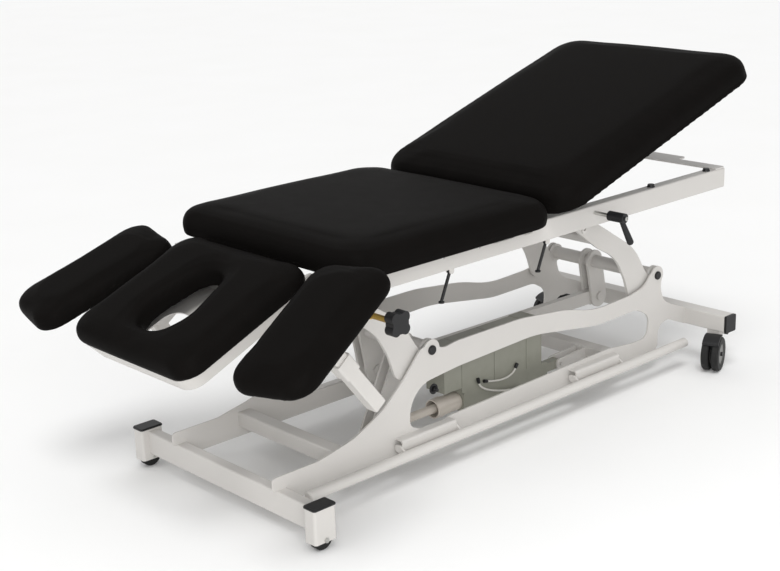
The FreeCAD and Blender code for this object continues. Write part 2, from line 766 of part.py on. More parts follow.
def foot_bars():
    """Long foot bars that tip in folded brackets on both sides."""
    covers = []
    for side, word in ((NEAR, "near"), (FAR, "far")):
        start = V(bar_front_x, bar_y * side, bar_z)
        end = V(bar_front_x + bar_length, bar_y * side, bar_z)
        bar = rod(start + ALONG * bar_cap_length, end, bar_radius, bar_radius - tube_wall)
        for x0 in (front_bracket_x, rear_bracket_x):
            x1 = x0 + bracket_length
            outer = plate_outer_y + bracket_reach
            top = bracket_bottom + bracket_height
            sheet = bracket_sheet
            cover = end_prism(((plate_outer_y * side, top, 0.0), (outer * side, top, bend_radius * 1.5),
                               (outer * side, bracket_bottom, 0.0), ((outer - sheet) * side, bracket_bottom, 0.0),
                               ((outer - sheet) * side, top - sheet, bend_radius),
                               (plate_outer_y * side, top - sheet, 0.0)), x0, x1)
            for lug_x in (x0 + bar_arm_width, x1 - bar_arm_width - bar_arm_thickness):
                lug = box(lug_x, lug_x + bar_arm_thickness, plate_outer_y * side, (outer - sheet) * side,
                          bar_pivot_z - bar_arm_width / 2, top - sheet)
                cover = cover.fuse(lug)
            pivot = rod(V(x0 - overrun, bar_pivot_y * side, bar_pivot_z), V(x1 + overrun, bar_pivot_y * side, bar_pivot_z),
                        bar_pivot_radius + running_fit)
            covers.append(cover.cut(pivot))
            grip = bar_arm_thickness + seat_gap
            core = rod(start + ALONG * bar_cap_length, end, bar_radius - tube_wall)
            pin = rod(V(x0 - grip, bar_pivot_y * side, bar_pivot_z), V(x1 + grip, bar_pivot_y * side, bar_pivot_z),
                      bar_pivot_radius)
            bar = bar.fuse(pin)
            for arm_x in (x0 - grip, x1 + seat_gap):
                half = bar_arm_width / 2
                arm = end_prism(((bar_pivot_y * side - half * side, bar_pivot_z + half, half * 0.9),
                                 (bar_pivot_y * side + half * side, bar_pivot_z + half, half * 0.9),
                                 (bar_y * side, bar_z + half, half), (bar_y * side, bar_z - half, half),
                                 (bar_pivot_y * side - half * side, bar_pivot_z - half, half * 0.9)),
                                arm_x, arm_x + bar_arm_thickness)
                bar = bar.fuse(arm.cut(core))
        cap = rod(start, start + ALONG * bar_cap_length, bar_radius)
        nose = [e for e in cap.Edges if e.Closed and e.BoundBox.Center.x < bar_front_x + running_fit]
        keep("foot_bar_" + word, bar.removeSplitter(), cap.makeChamfer(bar_radius * 0.25, nose))
    keep("foot_bar_brackets", *covers)


def castor(side, word):
    """Twin-wheel braked castor: fork with swivel stem, wheels with hub, brake pedal."""
    y = castor_y * side
    crown = rear_beam_bottom - castor_block_height - seat_gap
    half_gap = castor_wheel_gap / 2
    stem = rod(V(castor_x, y, castor_radius * 1.82), V(castor_x, y, rear_beam_bottom + tube_wall), castor_stem_radius)
    head = rod(V(castor_x, y, castor_radius * castor_head_share), V(castor_x, y, crown), castor_head_radius)
    leg_half = half_gap - seat_gap
    block_reach = castor_block_size * math.sqrt(2) / 2 + running_fit
    hood_inner = castor_radius + castor_hood_gap
    hood_outer = hood_inner + castor_hood_wall
    rim_z = castor_radius + (hood_inner + hood_outer) / 2 * 0.96
    leg = side_prism(((castor_axle_x - castor_radius * 0.3, castor_radius * 0.62, castor_radius * 0.25),
                      (castor_axle_x + castor_radius * 0.3, castor_radius * 0.62, castor_radius * 0.25),
                      (castor_x + castor_head_radius * 1.5, castor_radius * 1.5, castor_radius * 0.3),
                      (castor_x + castor_head_radius * 1.5, crown, 0.0),
                      (castor_x - block_reach, crown, 0.0),
                      (castor_x - block_reach, rim_z, 0.0),
                      (castor_axle_x, rim_z, 0.0),
                      (castor_axle_x - castor_radius * 0.55, castor_radius * 1.7, castor_radius * 0.2),
                      (castor_axle_x - castor_radius * 0.42, castor_radius * 1.3, castor_radius * 0.4)),
                     y - leg_half, y + leg_half)
    reach = half_gap + castor_wheel_width + castor_axle_radius * 0.5
    axle = side_rod(castor_axle_x, castor_radius, y - reach, y + reach, castor_axle_radius)
    hood = side_rod(castor_axle_x, castor_radius, y - reach * 0.85, y + reach * 0.85, hood_outer, hood_inner)
    keep_zone = box(castor_axle_x - castor_radius * 0.8, castor_x - block_reach, y - overrun * 2, y + overrun * 2,
                    castor_radius * 1.6, castor_radius + hood_outer + overrun)
    wheels = []
    rims = []
    for offset in (-1, 1):
        y0 = y + offset * half_gap
        y1 = y0 + offset * castor_wheel_width
        bore = castor_axle_radius + running_fit
        tyre = side_rod(castor_axle_x, castor_radius, y0, y1, castor_radius, castor_hub_radius)
        edges = [e for e in tyre.Edges if e.Closed and abs(e.Curve.Radius - castor_radius) < running_fit]
        rim = side_rod(castor_axle_x, castor_radius, y0, y1 - offset * castor_wheel_width * 0.12,
                       castor_hub_radius, bore)
        wheels.append(tyre.makeChamfer(castor_wheel_width * 0.15, edges))
        rims.append(rim)
    pin_x = castor_x + pedal_pin_reach
    half = pedal_width / 2
    tip_x = pin_x + pedal_reach
    tip_z = pedal_pin_z + pedal_rise
    lip = pedal_thickness / 2
    pedal = side_prism(((pin_x - lip * 2, pedal_pin_z - lip, lip), (pin_x, pedal_pin_z - lip, lip),
                        (tip_x, tip_z - lip, lip * 0.9), (tip_x, tip_z + lip, lip * 0.9),
                        (pin_x, pedal_pin_z + lip * 1.6, lip), (pin_x - lip * 2, pedal_pin_z + lip * 1.2, lip)),
                       y - half, y + half)
    for offset in (-1, 1):
        slot_y = y + offset * half * 0.46
        slot = box(pin_x + pedal_reach * 0.3, pin_x + pedal_reach * 0.84, slot_y - half * 0.34,
                   slot_y + half * 0.34, pedal_pin_z - overrun, tip_z + overrun)
        pedal = pedal.cut(slot)
    ear_half = half * 0.4
    mouth = box(castor_x, pin_x + pedal_thickness * 0.8, y - ear_half - running_fit, y + ear_half + running_fit,
                0, overrun * 4)
    pin_radius = pedal_thickness * 0.3
    pedal = pedal.cut(mouth)
    pedal = pedal.cut(side_rod(pin_x, pedal_pin_z, y - half - overrun, y + half + overrun, pin_radius + running_fit))
    pin = side_rod(pin_x, pedal_pin_z, y - half, y + half, pin_radius)
    ear = box(castor_x + castor_head_radius * 0.5, pin_x + lip, y - ear_half, y + ear_half,
              pedal_pin_z - lip, pedal_pin_z + lip)
    fork = stem.fuse([head, leg, axle, hood.common(keep_zone), ear, pin]).removeSplitter()
    turn = castor_turn * -side
    places = {"castor_fork_": (fork,), "castor_wheels_": (wheels[0].fuse(rims[0]), wheels[1].fuse(rims[1])),
              "castor_pedal_": (pedal,)}
    for start, solids in places.items():
        placed = [solid.copy() for solid in solids]
        for solid in placed:
            solid.rotate(V(castor_x, y, 0), V(0, 0, 1), turn)
        keep(start + word, *placed)


def cushion(length, width, thickness, corner, hole=None):
    """Padded cushion from x = -length to 0 on z = 0, with drawn-in sides and a crown."""
    wires = []
    crown_share = min(pad_crown_share, pad_crown_width_share * width / thickness)
    for inset_share, up_share in pad_edge_shares + ((crown_share, 1.0),):
        inset = inset_share * thickness
        level = up_share * thickness
        half = width / 2 - inset
        radius = min(corner + inset * pad_corner_growth_share, half * 0.9)
        corners = rectangle(-length + inset, -inset, -half, half, radius)
        wires.append(outline(corners, lambda p, level=level: V(p.x, p.y, level)))
    pad = Part.makeLoft(wires, True, True)
    if hole:
        pad = pad.cut(hole)
    return pad


def placed_section(shape, x, z, tilt):
    """Lay a section modelled towards -X at its rear lower edge; tilt drops its front end."""
    moved = shape.copy()
    moved.translate(V(x, 0, z))
    moved.rotate(V(x, 0, z), ACROSS, -tilt)
    return moved


def face_hole():
    """Teardrop opening with a wide rolled lip."""
    wires = []
    for level, grow in ((-overrun, 1.0), (0.55, 1.0), (0.85, 1.06), (1.0, 1.25)):
        height = level * head_pad_thickness if level > 0 else level
        corners = []
        centre = -0.53 * head_pad_length
        for along, across, radius in face_hole_shares:
            x = centre + (along * head_pad_length - centre) * grow
            corners.append((x, across * head_pad_width * grow, radius * head_pad_width))
        wires.append(outline(corners, lambda p, height=height: V(p.x, p.y, height)))
    return Part.makeLoft(wires, True, True)


def head_section():
    """Face cushion on a tapered tray that hinges at the front of the rails."""
    pad = cushion(head_pad_length, head_pad_width, head_pad_thickness, head_pad_corner, face_hole())
    keep("head_pad", placed_section(pad, head_pad_x, head_pad_z, head_tilt))
    wires = []
    cores = []
    edge = tray_setback
    for level, inset in ((-tray_depth, tray_taper), (0.0, 0.0)):
        half = tray_width / 2 - inset
        corners = rectangle(-edge - tray_length + inset, -edge - inset, -half, half, tray_corner)
        wires.append(outline(corners, lambda p, level=level: V(p.x, p.y, level)))
        inner = rectangle(-edge - tray_length + inset + tray_wall, -edge - inset - tray_wall, tray_wall - half,
                          half - tray_wall, tray_corner - tray_wall)
        lift = tray_wall if level else 0.0
        cores.append(outline(inner, lambda p, level=level, lift=lift: V(p.x, p.y, level + lift)))
    tray = Part.makeLoft(wires, True, True).cut(Part.makeLoft(cores, True, True))
    window = rectangle(-edge - tray_length * 0.88, -edge - tray_length * 0.36, -tray_width * 0.3, tray_width * 0.3,
                       tray_corner)
    tray = tray.cut(flat_prism(window, -tray_depth - overrun, -tray_depth + overrun / 2))
    hinge = V(head_hinge_x - head_pad_x, 0, head_hinge_z - head_pad_z)
    hinge = FreeCAD.Rotation(ACROSS, head_tilt).multVec(hinge)
    pin_z = -tray_depth - gas_lug_drop
    pin_x = hinge.x - math.sqrt(gas_pivot_distance ** 2 - (pin_z - hinge.z) ** 2)
    for side in (NEAR, FAR):
        y0 = (gas_radius + seat_gap) * side
        y1 = y0 + plate_thickness * side
        half = gas_lug_drop * 0.9
        lug = side_prism(((pin_x - half, pin_z - half, half), (pin_x + half, pin_z - half, half),
                          (pin_x + half * 2, -tray_depth, 0.0), (pin_x - half * 2, -tray_depth, 0.0)), y0, y1)
        tray = tray.fuse([lug, side_rod(pin_x, pin_z, 0, y1, gas_rod_radius)])
    tray = placed_section(tray, head_pad_x, head_pad_z, head_tilt)
    spring_end = FreeCAD.Rotation(ACROSS, -head_tilt).multVec(V(pin_x, 0, pin_z)) + V(head_pad_x, 0, head_pad_z)
    for side in (NEAR, FAR):
        y0 = head_ear_y * side
        y1 = y0 + plate_thickness * side
        ear = link(head_hinge_x, head_hinge_z, head_pad_x - tray_length * 0.22, head_hinge_z - tray_length * 0.12,
                   hinge_ear_radius * 2, y0, y1)
        tray = tray.fuse(ear)
        tray = tray.cut(side_rod(head_hinge_x, head_hinge_z, y0 - overrun * side, y1 + overrun * side,
                                 hinge_pin_radius + running_fit))
    keep("head_tray", tray.removeSplitter())
    return spring_end


def gas_spring(end):
    """Locking gas spring between the top frame and the tray, with both ends as far from the hinge."""
    bearing = math.radians(gas_frame_angle)
    start = V(head_hinge_x + gas_pivot_distance * math.cos(bearing), 0,
              head_hinge_z + gas_pivot_distance * math.sin(bearing))
    along = end - start
    reach = along.Length * gas_cylinder_share
    along.normalize()
    eye_half = gas_radius
    cylinder = rod(start, start + along * reach, gas_radius)
    cylinder = cylinder.cut(rod(start + along * gas_radius * 3, start + along * (reach + overrun),
                                gas_rod_radius + running_fit))
    cylinder = cylinder.fuse(side_rod(start.x, start.z, -eye_half, eye_half, gas_radius))
    cylinder = cylinder.cut(side_rod(start.x, start.z, -overrun, overrun, gas_rod_radius + running_fit))
    keep("head_spring_cylinder", cylinder)
    piston = rod(end, start + along * (gas_radius * 8.5), gas_rod_radius)
    piston = piston.fuse(side_rod(end.x, end.z, -eye_half, eye_half, gas_eye_radius))
    piston = piston.cut(side_rod(end.x, end.z, -overrun, overrun, gas_rod_radius + running_fit))
    keep("head_spring_rod", piston)
    return start


def top_frame():
    """Two channel rails, round lift tubes, cross members, hinge pins and the rear plate."""
    for side, word in ((NEAR, "near"), (FAR, "far")):
        outer = rail_y * side
        inner = (rail_y - rail_flange) * side
        sheet = rail_sheet
        rail = end_prism(((outer, rail_bottom, bend_radius), (inner, rail_bottom, 0.0),
                          (inner, rail_bottom + sheet, 0.0), (outer - sheet * side, rail_bottom + sheet, bend_radius / 4),
                          (outer - sheet * side, rail_top - sheet, bend_radius / 4), (inner, rail_top - sheet, 0.0),
                          (inner, rail_top, 0.0), (outer, rail_top, bend_radius)), rail_front_x, rail_rear_x)
        web0 = outer + overrun * side
        web1 = outer - sheet * 2 * side
        middle = rail_bottom + rail_height * 0.72
        for step in range(2):
            x = rail_front_x + rail_hole_front + step * rail_hole_spacing
            rail = rail.cut(side_rod(x, middle, web0, web1, rail_hole_radius))
        x = rail_front_x + rail_slot_start
        half = rail_slot_height / 2
        rail = rail.cut(side_prism(rectangle(x, x + rail_slot_length, middle - half, middle + half, half * 0.98),
                                   web0, web1))
        x = rail_front_x + rail_window_start
        half = rail_window_height / 2
        rail = rail.cut(side_prism(rectangle(x, x + rail_window_length, middle - half, middle + half, bend_radius),
                                   web0, web1))
        rail = rail.cut(side_rod(head_hinge_x, head_hinge_z, web0, web1, hinge_pin_radius + running_fit))
        if side == NEAR:
            rail = rail.cut(side_rod(clamp_x, clamp_z, web0, web1, clamp_radius + running_fit))
            rail = rail.fuse(release_pins())
        keep("rail_" + word, rail)


def top_members(spring_start):
    """Round lift tubes, cross members with lugs, hinge pins, rear plate and bumpers."""
    web = rail_y - rail_sheet
    bore = lift_tube_radius - tube_wall
    front = side_rod(front_top_x, front_top_z, -web, web, lift_tube_radius, bore)
    lug_end = gas_radius + seat_gap + plate_thickness
    for side in (NEAR, FAR):
        lug = link(spring_start.x, spring_start.z, front_top_x, front_top_z, spring_lug_width,
                   side * (gas_radius + seat_gap), side * lug_end)
        front = front.fuse(lug.cut(side_rod(front_top_x, front_top_z, -web, web, lift_tube_radius)))
    front = front.fuse(side_rod(spring_start.x, spring_start.z, -lug_end, lug_end, gas_rod_radius))
    half = cross_member_width / 2
    middle = rear_top_z
    low = middle - cross_member_height / 2
    carrier = box_tube_across(rear_cross_member_x - half, rear_cross_member_x + half, -web, web, low,
                              low + cross_member_height, tube_wall)
    filled = box(rear_cross_member_x - half, rear_cross_member_x + half, -web, web, low, low + cross_member_height)
    inner = arm_y + arm_thickness / 2 + seat_gap
    outer = inner + plate_thickness
    rear = side_rod(rear_top_x, rear_top_z, -outer, outer, lift_tube_radius, bore)
    for side in (NEAR, FAR):
        lug = link(rear_cross_member_x, middle, rear_top_x, rear_top_z, lift_lug_width, inner * side, outer * side)
        lug = lug.cut(filled).cut(side_rod(rear_top_x, rear_top_z, -web, web, lift_tube_radius))
        rear = rear.fuse(lug)
    pieces = [front, carrier.fuse(rear)]
    high = rail_top - rail_sheet
    mid = box_tube_across(mid_cross_member_x - half, mid_cross_member_x + half, -web, web, high - cross_member_height,
                          high, tube_wall)
    for side in (NEAR, FAR):
        bar_face = back_bar_y + back_bar_size / 2
        y0 = (bar_face + seat_gap) * side
        y1 = y0 + plate_thickness * side
        ear = link(mid_cross_member_x + half * 0.4, high - cross_member_height * 0.7, back_hinge_x, back_hinge_z,
                   back_ear_width, y0, y1)
        pin = side_rod(back_hinge_x, back_hinge_z, (bar_face - plate_thickness) * side, y1, back_pin_radius)
        mid = mid.fuse([ear, pin])
    pieces.append(mid)
    pieces.append(side_rod(head_hinge_x, head_hinge_z, -rail_y, rail_y, hinge_pin_radius))
    keep("top_cross_members", *pieces)
    x0 = rail_rear_x - end_plate_length
    tongue = end_tongue_width / 2
    plate = flat_prism(((x0, -rail_y, 0.0), (rail_rear_x, -rail_y, bend_radius * 2), (rail_rear_x, -tongue, bend_radius),
                        (rail_rear_x + end_tongue_length, -tongue, bend_radius * 3),
                        (rail_rear_x + end_tongue_length, tongue, bend_radius * 3), (rail_rear_x, tongue, bend_radius),
                        (rail_rear_x, rail_y, bend_radius * 2), (x0, rail_y, 0.0)),
                       rail_top, rail_top + end_plate_thickness)
    keep("top_end_plate", plate)
    bumpers = []
    for x in (front_bumper_x, rear_bumper_x):
        for side in (NEAR, FAR):
            foot = V(x, (rail_y - bumper_setback) * side, rail_top)
            bumper = Part.makeCone(bumper_radius, bumper_radius * 0.8, bumper_height, foot, UP)
            bumpers.append(bumper)
    keep("rail_bumpers", *bumpers)


def armrest(side, word, rear_x, rear_z, tilt):
    """Armrest: hanger and stud on the rail, swing arm with sleeve, sliding post and cushion."""
    pad = cushion(arm_pad_length, arm_pad_width, arm_pad_thickness, arm_pad_corner)
    middle = -arm_pad_length / 2
    plate = flat_prism(rectangle(middle - pad_plate_length / 2, middle + pad_plate_length / 2, -pad_plate_width / 2,
                                 pad_plate_width / 2, bend_radius * 3), -bracket_sheet, 0.0)
    for piece in (pad, plate):
        piece.rotate(V(middle, 0, 0), UP, -side * arm_pad_splay)
        piece.translate(V(0, side * arm_pad_y, 0))
    pad = placed_section(pad, rear_x, rear_z, tilt)
    plate = placed_section(plate, rear_x, rear_z, tilt)
    rise = math.radians(tilt)
    slope = math.radians(tilt - 90.0 + post_lean)
    down = V(math.cos(slope), 0, math.sin(slope))
    y = arm_post_y * side
    attach = V(rear_x - arm_pad_length * post_attach_share * math.cos(rise), y,
               rear_z - arm_pad_length * post_attach_share * math.sin(rise))
    to_stud = V(stud_x, y, stud_z) - attach
    foot = attach + down * to_stud.dot(down)
    half = arm_post_size / 2
    length = (foot - attach).Length + post_foot_length
    turn = math.degrees(slope) + 90.0

    def along_post(shape, origin):
        shape.rotate(V(0, 0, 0), ACROSS, -turn)
        shape.translate(origin)
        return shape

    corners = rectangle(-half, half, -half, half, bend_radius)
    wall = tube_wall
    bore = rectangle(wall - half, half - wall, wall - half, half - wall, bend_radius - wall / 2)
    top = arm_post_size * 0.5
    post = flat_prism(corners, -length, top).cut(flat_prism(bore, -length, top + overrun))
    post = along_post(post, attach)
    under = box(-overrun * 8, overrun * 8, -overrun * 4, overrun * 4, -bracket_sheet, overrun * 4)
    under.translate(V(0, y, 0))
    under = placed_section(under, rear_x, rear_z, tilt)
    post = post.cut(under)
    cap = along_post(flat_prism(corners, -length - bracket_sheet, -length), attach)
    keep("armrest_post_" + word, post.fuse(plate), cap)
    keep("armrest_pad_" + word, pad)

    outer = half + sleeve_gap + sleeve_wall
    sleeve = flat_prism(rectangle(-outer, outer, -outer, outer, bend_radius * 1.5), -sleeve_length / 2,
                        sleeve_length / 2)
    inner = half + sleeve_gap
    sleeve = sleeve.cut(flat_prism(rectangle(-inner, inner, -inner, inner, bend_radius), -sleeve_length, sleeve_length))
    sleeve = along_post(sleeve, foot)
    y0 = (rail_y + hanger_thickness + seat_gap) * side
    y1 = y0 + plate_thickness * side
    arm = link(stud_x, stud_z, foot.x, foot.z, hanger_width * 0.88, y0, y1)
    stub = side_rod(foot.x, foot.z, y1, (arm_post_y - outer) * side, outer * 0.6)
    frame = arm.fuse([stub, sleeve])
    hole = side_rod(stud_x, stud_z, y0 - overrun * side, y1 + overrun * side, stud_radius + running_fit)
    keep("armrest_swing_" + word, frame.cut(hole).removeSplitter())

    knob = side_rod(stud_x, stud_z, knob_y * side, (knob_y + knob_length) * side, knob_radius * 0.72)
    for step in range(4):
        bearing = math.radians(45.0 + 90.0 * step)
        reach = knob_radius - knob_lobe_radius
        lobe = side_rod(stud_x + reach * math.cos(bearing), stud_z + reach * math.sin(bearing), knob_y * side,
                        (knob_y + knob_length) * side, knob_lobe_radius)
        knob = knob.fuse(lobe)
    knob = knob.removeSplitter()
    socket = side_rod(stud_x, stud_z, (knob_y - overrun) * side, (knob_y + knob_length * 0.6) * side,
                      stud_radius + running_fit)
    keep("armrest_knob_" + word, knob.cut(socket))
    return foot, down * -1


def armrest_hangers():
    """Hanger plates on the rails and the threaded studs that clamp the armrests."""
    plates = []
    studs = []
    for side in (NEAR, FAR):
        y0 = rail_y * side
        y1 = (rail_y + hanger_thickness) * side
        half = hanger_width / 2
        plate = side_prism(((stud_x - half, stud_z - half, half * 0.98), (stud_x + half, stud_z - half, half * 0.98),
                            (stud_x + half * 1.5, rail_top - bend_radius, bend_radius * 2),
                            (stud_x - half * 1.5, rail_top - bend_radius, bend_radius * 2)), y0, y1)
        hole = side_rod(stud_x, stud_z, y0 - overrun * side, y1 + overrun * side, stud_radius)
        plates.append(plate.cut(hole))
        start = y1 + (seat_gap * 2 + plate_thickness) * side
        stud = side_rod(stud_x, stud_z, y0 - tube_wall * side, (knob_y + knob_length * 0.5) * side, stud_radius)
        collar = side_rod(stud_x, stud_z, start, start + stud_collar_length * side, stud_collar_radius)
        studs.append(stud.fuse(collar))
    keep("armrest_hangers", *plates)
    clamp_end = rail_y + clamp_reach + clamp_hub_length / 2
    studs.append(side_rod(clamp_x, clamp_z, -clamp_end, strap_thickness - strap_y, clamp_radius))
    keep("clamp_studs", *studs)


def back_section():
    """Back cushion on two hinged bars, with a slotted strap that passes the clamp stud."""
    back_underside = pad_underside + back_pad_lift
    back = cushion(back_pad_length, pad_width, pad_thickness, pad_corner)
    back.rotate(V(-back_pad_length / 2, 0, 0), UP, 180)
    back.translate(V(back_hinge_x + back_pad_setback + back_pad_length, 0, back_underside))
    keep("back_pad", turned(back, back_hinge_x, back_hinge_z, -back_tilt))
    start = back_hinge_x + back_bar_setback
    low = back_underside - back_bar_size
    radius = math.hypot(clamp_x - back_hinge_x, clamp_z - back_hinge_z)
    pin_z = back_underside - strap_pin_drop
    pin_x = back_hinge_x + math.sqrt(radius * radius - (pin_z - back_hinge_z) ** 2)
    for side in (NEAR, FAR):
        y0 = (back_bar_y - back_bar_size / 2) * side
        y1 = (back_bar_y + back_bar_size / 2) * side
        bar = box(start, start + back_bar_length, y0, y1, low, back_underside)
        ear = link(back_hinge_x, back_hinge_z, start + back_bar_size * 0.3, low + back_bar_size * 0.3,
                   back_ear_width, y1 - plate_thickness * side, y1)
        bar = bar.fuse(ear)
        bar = bar.cut(side_rod(back_hinge_x, back_hinge_z, y0 - overrun * side, y1 + overrun * side,
                               back_pin_radius + running_fit))
        word = "far"
        if side == NEAR:
            word = "near"
            bar = bar.fuse(side_rod(pin_x, pin_z, y1, (strap_y + strap_thickness) * side, strap_pin_radius))
        keep("back_bar_" + word, turned(bar.removeSplitter(), back_hinge_x, back_hinge_z, -back_tilt))

    # The strap turns half as fast as the back, so its slot always passes over the stud.
    flat_angle = math.degrees(math.atan2(pin_z - back_hinge_z, pin_x - back_hinge_x))
    clamp_angle = math.degrees(math.atan2(clamp_z - back_hinge_z, clamp_x - back_hinge_x))
    nearest = 2 * radius * math.sin(math.radians((flat_angle + back_lowest - clamp_angle) / 2))
    furthest = 2 * radius * math.sin(math.radians((flat_angle + back_tilt + back_raise - clamp_angle) / 2))
    pin_angle = math.radians(flat_angle + back_tilt)
    place = V(back_hinge_x + radius * math.cos(pin_angle), 0, back_hinge_z + radius * math.sin(pin_angle))
    aim = math.degrees(math.atan2(clamp_z - place.z, clamp_x - place.x))
    y0 = -strap_y - strap_thickness / 2
    y1 = -strap_y + strap_thickness / 2
    strap = link(0, 0, furthest + clamp_radius, 0, strap_width, y0, y1)
    slot = clamp_radius + running_fit * 4
    strap = strap.cut(side_prism(rectangle(nearest - slot, furthest + slot, -slot, slot, slot * 0.98),
                                 y0 - overrun, y1 + overrun))
    strap = strap.cut(side_rod(0, 0, y0 - overrun, y1 + overrun, strap_pin_radius + running_fit))
    strap.rotate(V(0, 0, 0), ACROSS, -aim)
    strap.translate(place)
    keep("back_strap", strap)
    return place


def clamp_handle():
    """Clamp lever on the outer end of the stud: round hub and a cranked tapering grip."""
    start = -(rail_y + clamp_reach)
    hub = side_rod(clamp_x, clamp_z, start, start - clamp_hub_length, clamp_hub_radius)
    hub = hub.cut(side_rod(clamp_x, clamp_z, start + overrun, start - clamp_hub_length * 0.6,
                           clamp_radius + running_fit))
    root = V(clamp_x, start - clamp_hub_length * 0.7, clamp_z)
    tip = root + V(handle_back, -handle_out, -handle_drop)
    axis = tip - root
    grip = Part.makeCone(handle_radius * 0.7, handle_radius, axis.Length, root, axis)
    ball = Part.makeSphere(handle_radius, tip)
    keep("back_clamp_handle", hub.fuse([grip, ball]))


def release_rods():
    """Thin release levers that hang under the near rail."""
    y = -(rail_y - rail_flange / 2)
    for x, word in ((front_release_x, "head"), (rear_release_x, "back")):
        z = rail_bottom - release_eye_radius - seat_gap
        reach = math.radians(release_lean)
        tip = V(x - release_rod_length * math.sin(reach), y, z - release_rod_length * math.cos(reach))
        lever = rod(V(x, y, z), tip, release_rod_radius)
        lever = lever.fuse(side_rod(x, z, y - release_rod_radius, y + release_rod_radius, release_eye_radius))
        lever = lever.cut(side_rod(x, z, y - overrun, y + overrun, release_rod_radius * 0.6 + running_fit))
        foot = rod(tip, tip + V(0, 0, -release_rod_radius), release_rod_radius * 1.8)
        keep(word + "_release_rod", lever.fuse(foot).removeSplitter())


def release_pins():
    """Pins in lugs under the near rail for the release levers."""
    y = -(rail_y - rail_flange / 2)
    clips = []
    for x in (front_release_x, rear_release_x):
        z = rail_bottom - release_eye_radius - seat_gap
        reach = release_rod_radius + seat_gap
        clip = side_rod(x, z, y - reach - rail_sheet, y + reach + rail_sheet, release_rod_radius * 0.6)
        for offset in (-1, 1):
            y0 = y + offset * reach
            lug = side_prism(((x - release_eye_radius, z - release_eye_radius, release_eye_radius * 0.98),
                              (x + release_eye_radius, z - release_eye_radius, release_eye_radius * 0.98),
                              (x + release_eye_radius, rail_bottom, 0.0), (x - release_eye_radius, rail_bottom, 0.0)),
                             y0, y0 + offset * rail_sheet)
            clip = clip.fuse(lug)
        clips.append(clip)
    return clips


def run():
    """Build every piece and give back the places of the pivots that are worked out on the way."""
    base_frame()
    for side, word in ((NEAR, "near"), (FAR, "far")):
        arch_arm(front_pivot_x, front_pivot_z, side, "front_arm_" + word)
        arch_arm(rear_pivot_x, rear_pivot_z, side, "rear_arm_" + word)
        castor(side, word)
    lift_hubs()
    coupler()
    actuator()
    foot_bars()
    spring_end = head_section()
    spring_start = gas_spring(spring_end)
    top_frame()
    top_members(spring_start)
    pad = cushion(mid_pad_length, pad_width, pad_thickness, mid_pad_corner)
    keep("mid_pad", placed_section(pad, mid_pad_front_x + mid_pad_length, pad_underside, 0.0))
    near_arm = armrest(NEAR, "near", near_arm_x, near_arm_z, near_arm_tilt)
    far_arm = armrest(FAR, "far", far_arm_x, far_arm_z, far_arm_tilt)
    armrest_hangers()
    strap_pin = back_section()
    clamp_handle()
    release_rods()
    return spring_start, spring_end, near_arm, far_arm, strap_pin


def to_origin():
    """Move every piece so that the origin is on the floor under the middle of the overall box."""
    boxes = [shape.optimalBoundingBox(False, False) for shape in parts.values()]
    x_middle = (min(b.XMin for b in boxes) + max(b.XMax for b in boxes)) / 2
    y_middle = (min(b.YMin for b in boxes) + max(b.YMax for b in boxes)) / 2
    move = V(-x_middle, -y_middle, -min(b.ZMin for b in boxes))
    for name in parts:
        parts[name].translate(move)
    return move


spring_start, spring_end, near_arm, far_arm, strap_pin = run()
shift = to_origin()
os.makedirs("parts", exist_ok=True)
for name, shape in sorted(parts.items()):
    shape.exportStep("parts/" + name + ".step")
    print(name, len(shape.Solids), shape.isValid(), round(shape.Volume))
print("origin moved by", shift)
print("head spring pivots", spring_start + shift, spring_end + shift)
print("armrest post feet", near_arm[0] + shift, far_arm[0] + shift)
print("back strap pin", strap_pin + shift)
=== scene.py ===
# %% [markdown]
# A treatment table with five padded sections on a rocking-arm steel base.
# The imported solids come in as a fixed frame, already in place and in metres. This
# script dresses them: it gives every steel and plastic piece a finish, puts blown-up
# covers on the cushions, lays the leads as curves, and sets a camera and plain light.

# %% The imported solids
import json
import math
import bmesh
import bpy
from mathutils import Matrix, Vector


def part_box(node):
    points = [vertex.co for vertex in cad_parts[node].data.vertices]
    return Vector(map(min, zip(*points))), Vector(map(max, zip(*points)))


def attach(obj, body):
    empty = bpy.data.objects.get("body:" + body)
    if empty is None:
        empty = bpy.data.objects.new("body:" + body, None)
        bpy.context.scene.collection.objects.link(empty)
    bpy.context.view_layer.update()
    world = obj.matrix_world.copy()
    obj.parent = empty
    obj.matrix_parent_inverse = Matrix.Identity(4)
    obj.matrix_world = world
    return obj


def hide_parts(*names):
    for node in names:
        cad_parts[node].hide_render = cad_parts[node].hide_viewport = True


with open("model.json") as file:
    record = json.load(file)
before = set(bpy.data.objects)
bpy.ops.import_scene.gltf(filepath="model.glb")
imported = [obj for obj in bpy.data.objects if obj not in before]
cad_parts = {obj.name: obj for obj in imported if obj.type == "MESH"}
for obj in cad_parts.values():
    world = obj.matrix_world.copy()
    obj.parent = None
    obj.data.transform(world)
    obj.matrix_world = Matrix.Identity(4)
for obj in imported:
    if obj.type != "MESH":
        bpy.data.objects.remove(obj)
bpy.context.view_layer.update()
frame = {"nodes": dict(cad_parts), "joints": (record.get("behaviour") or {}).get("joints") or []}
nodes = frame["nodes"]


# %% [markdown]
# The camera stands where the photographer stood: in front of the head end, to the
# near side, at about eye height. Its place and its three directions were fitted to
# edges of the base and the cushions, so it is set as a matrix and not aimed by hand.

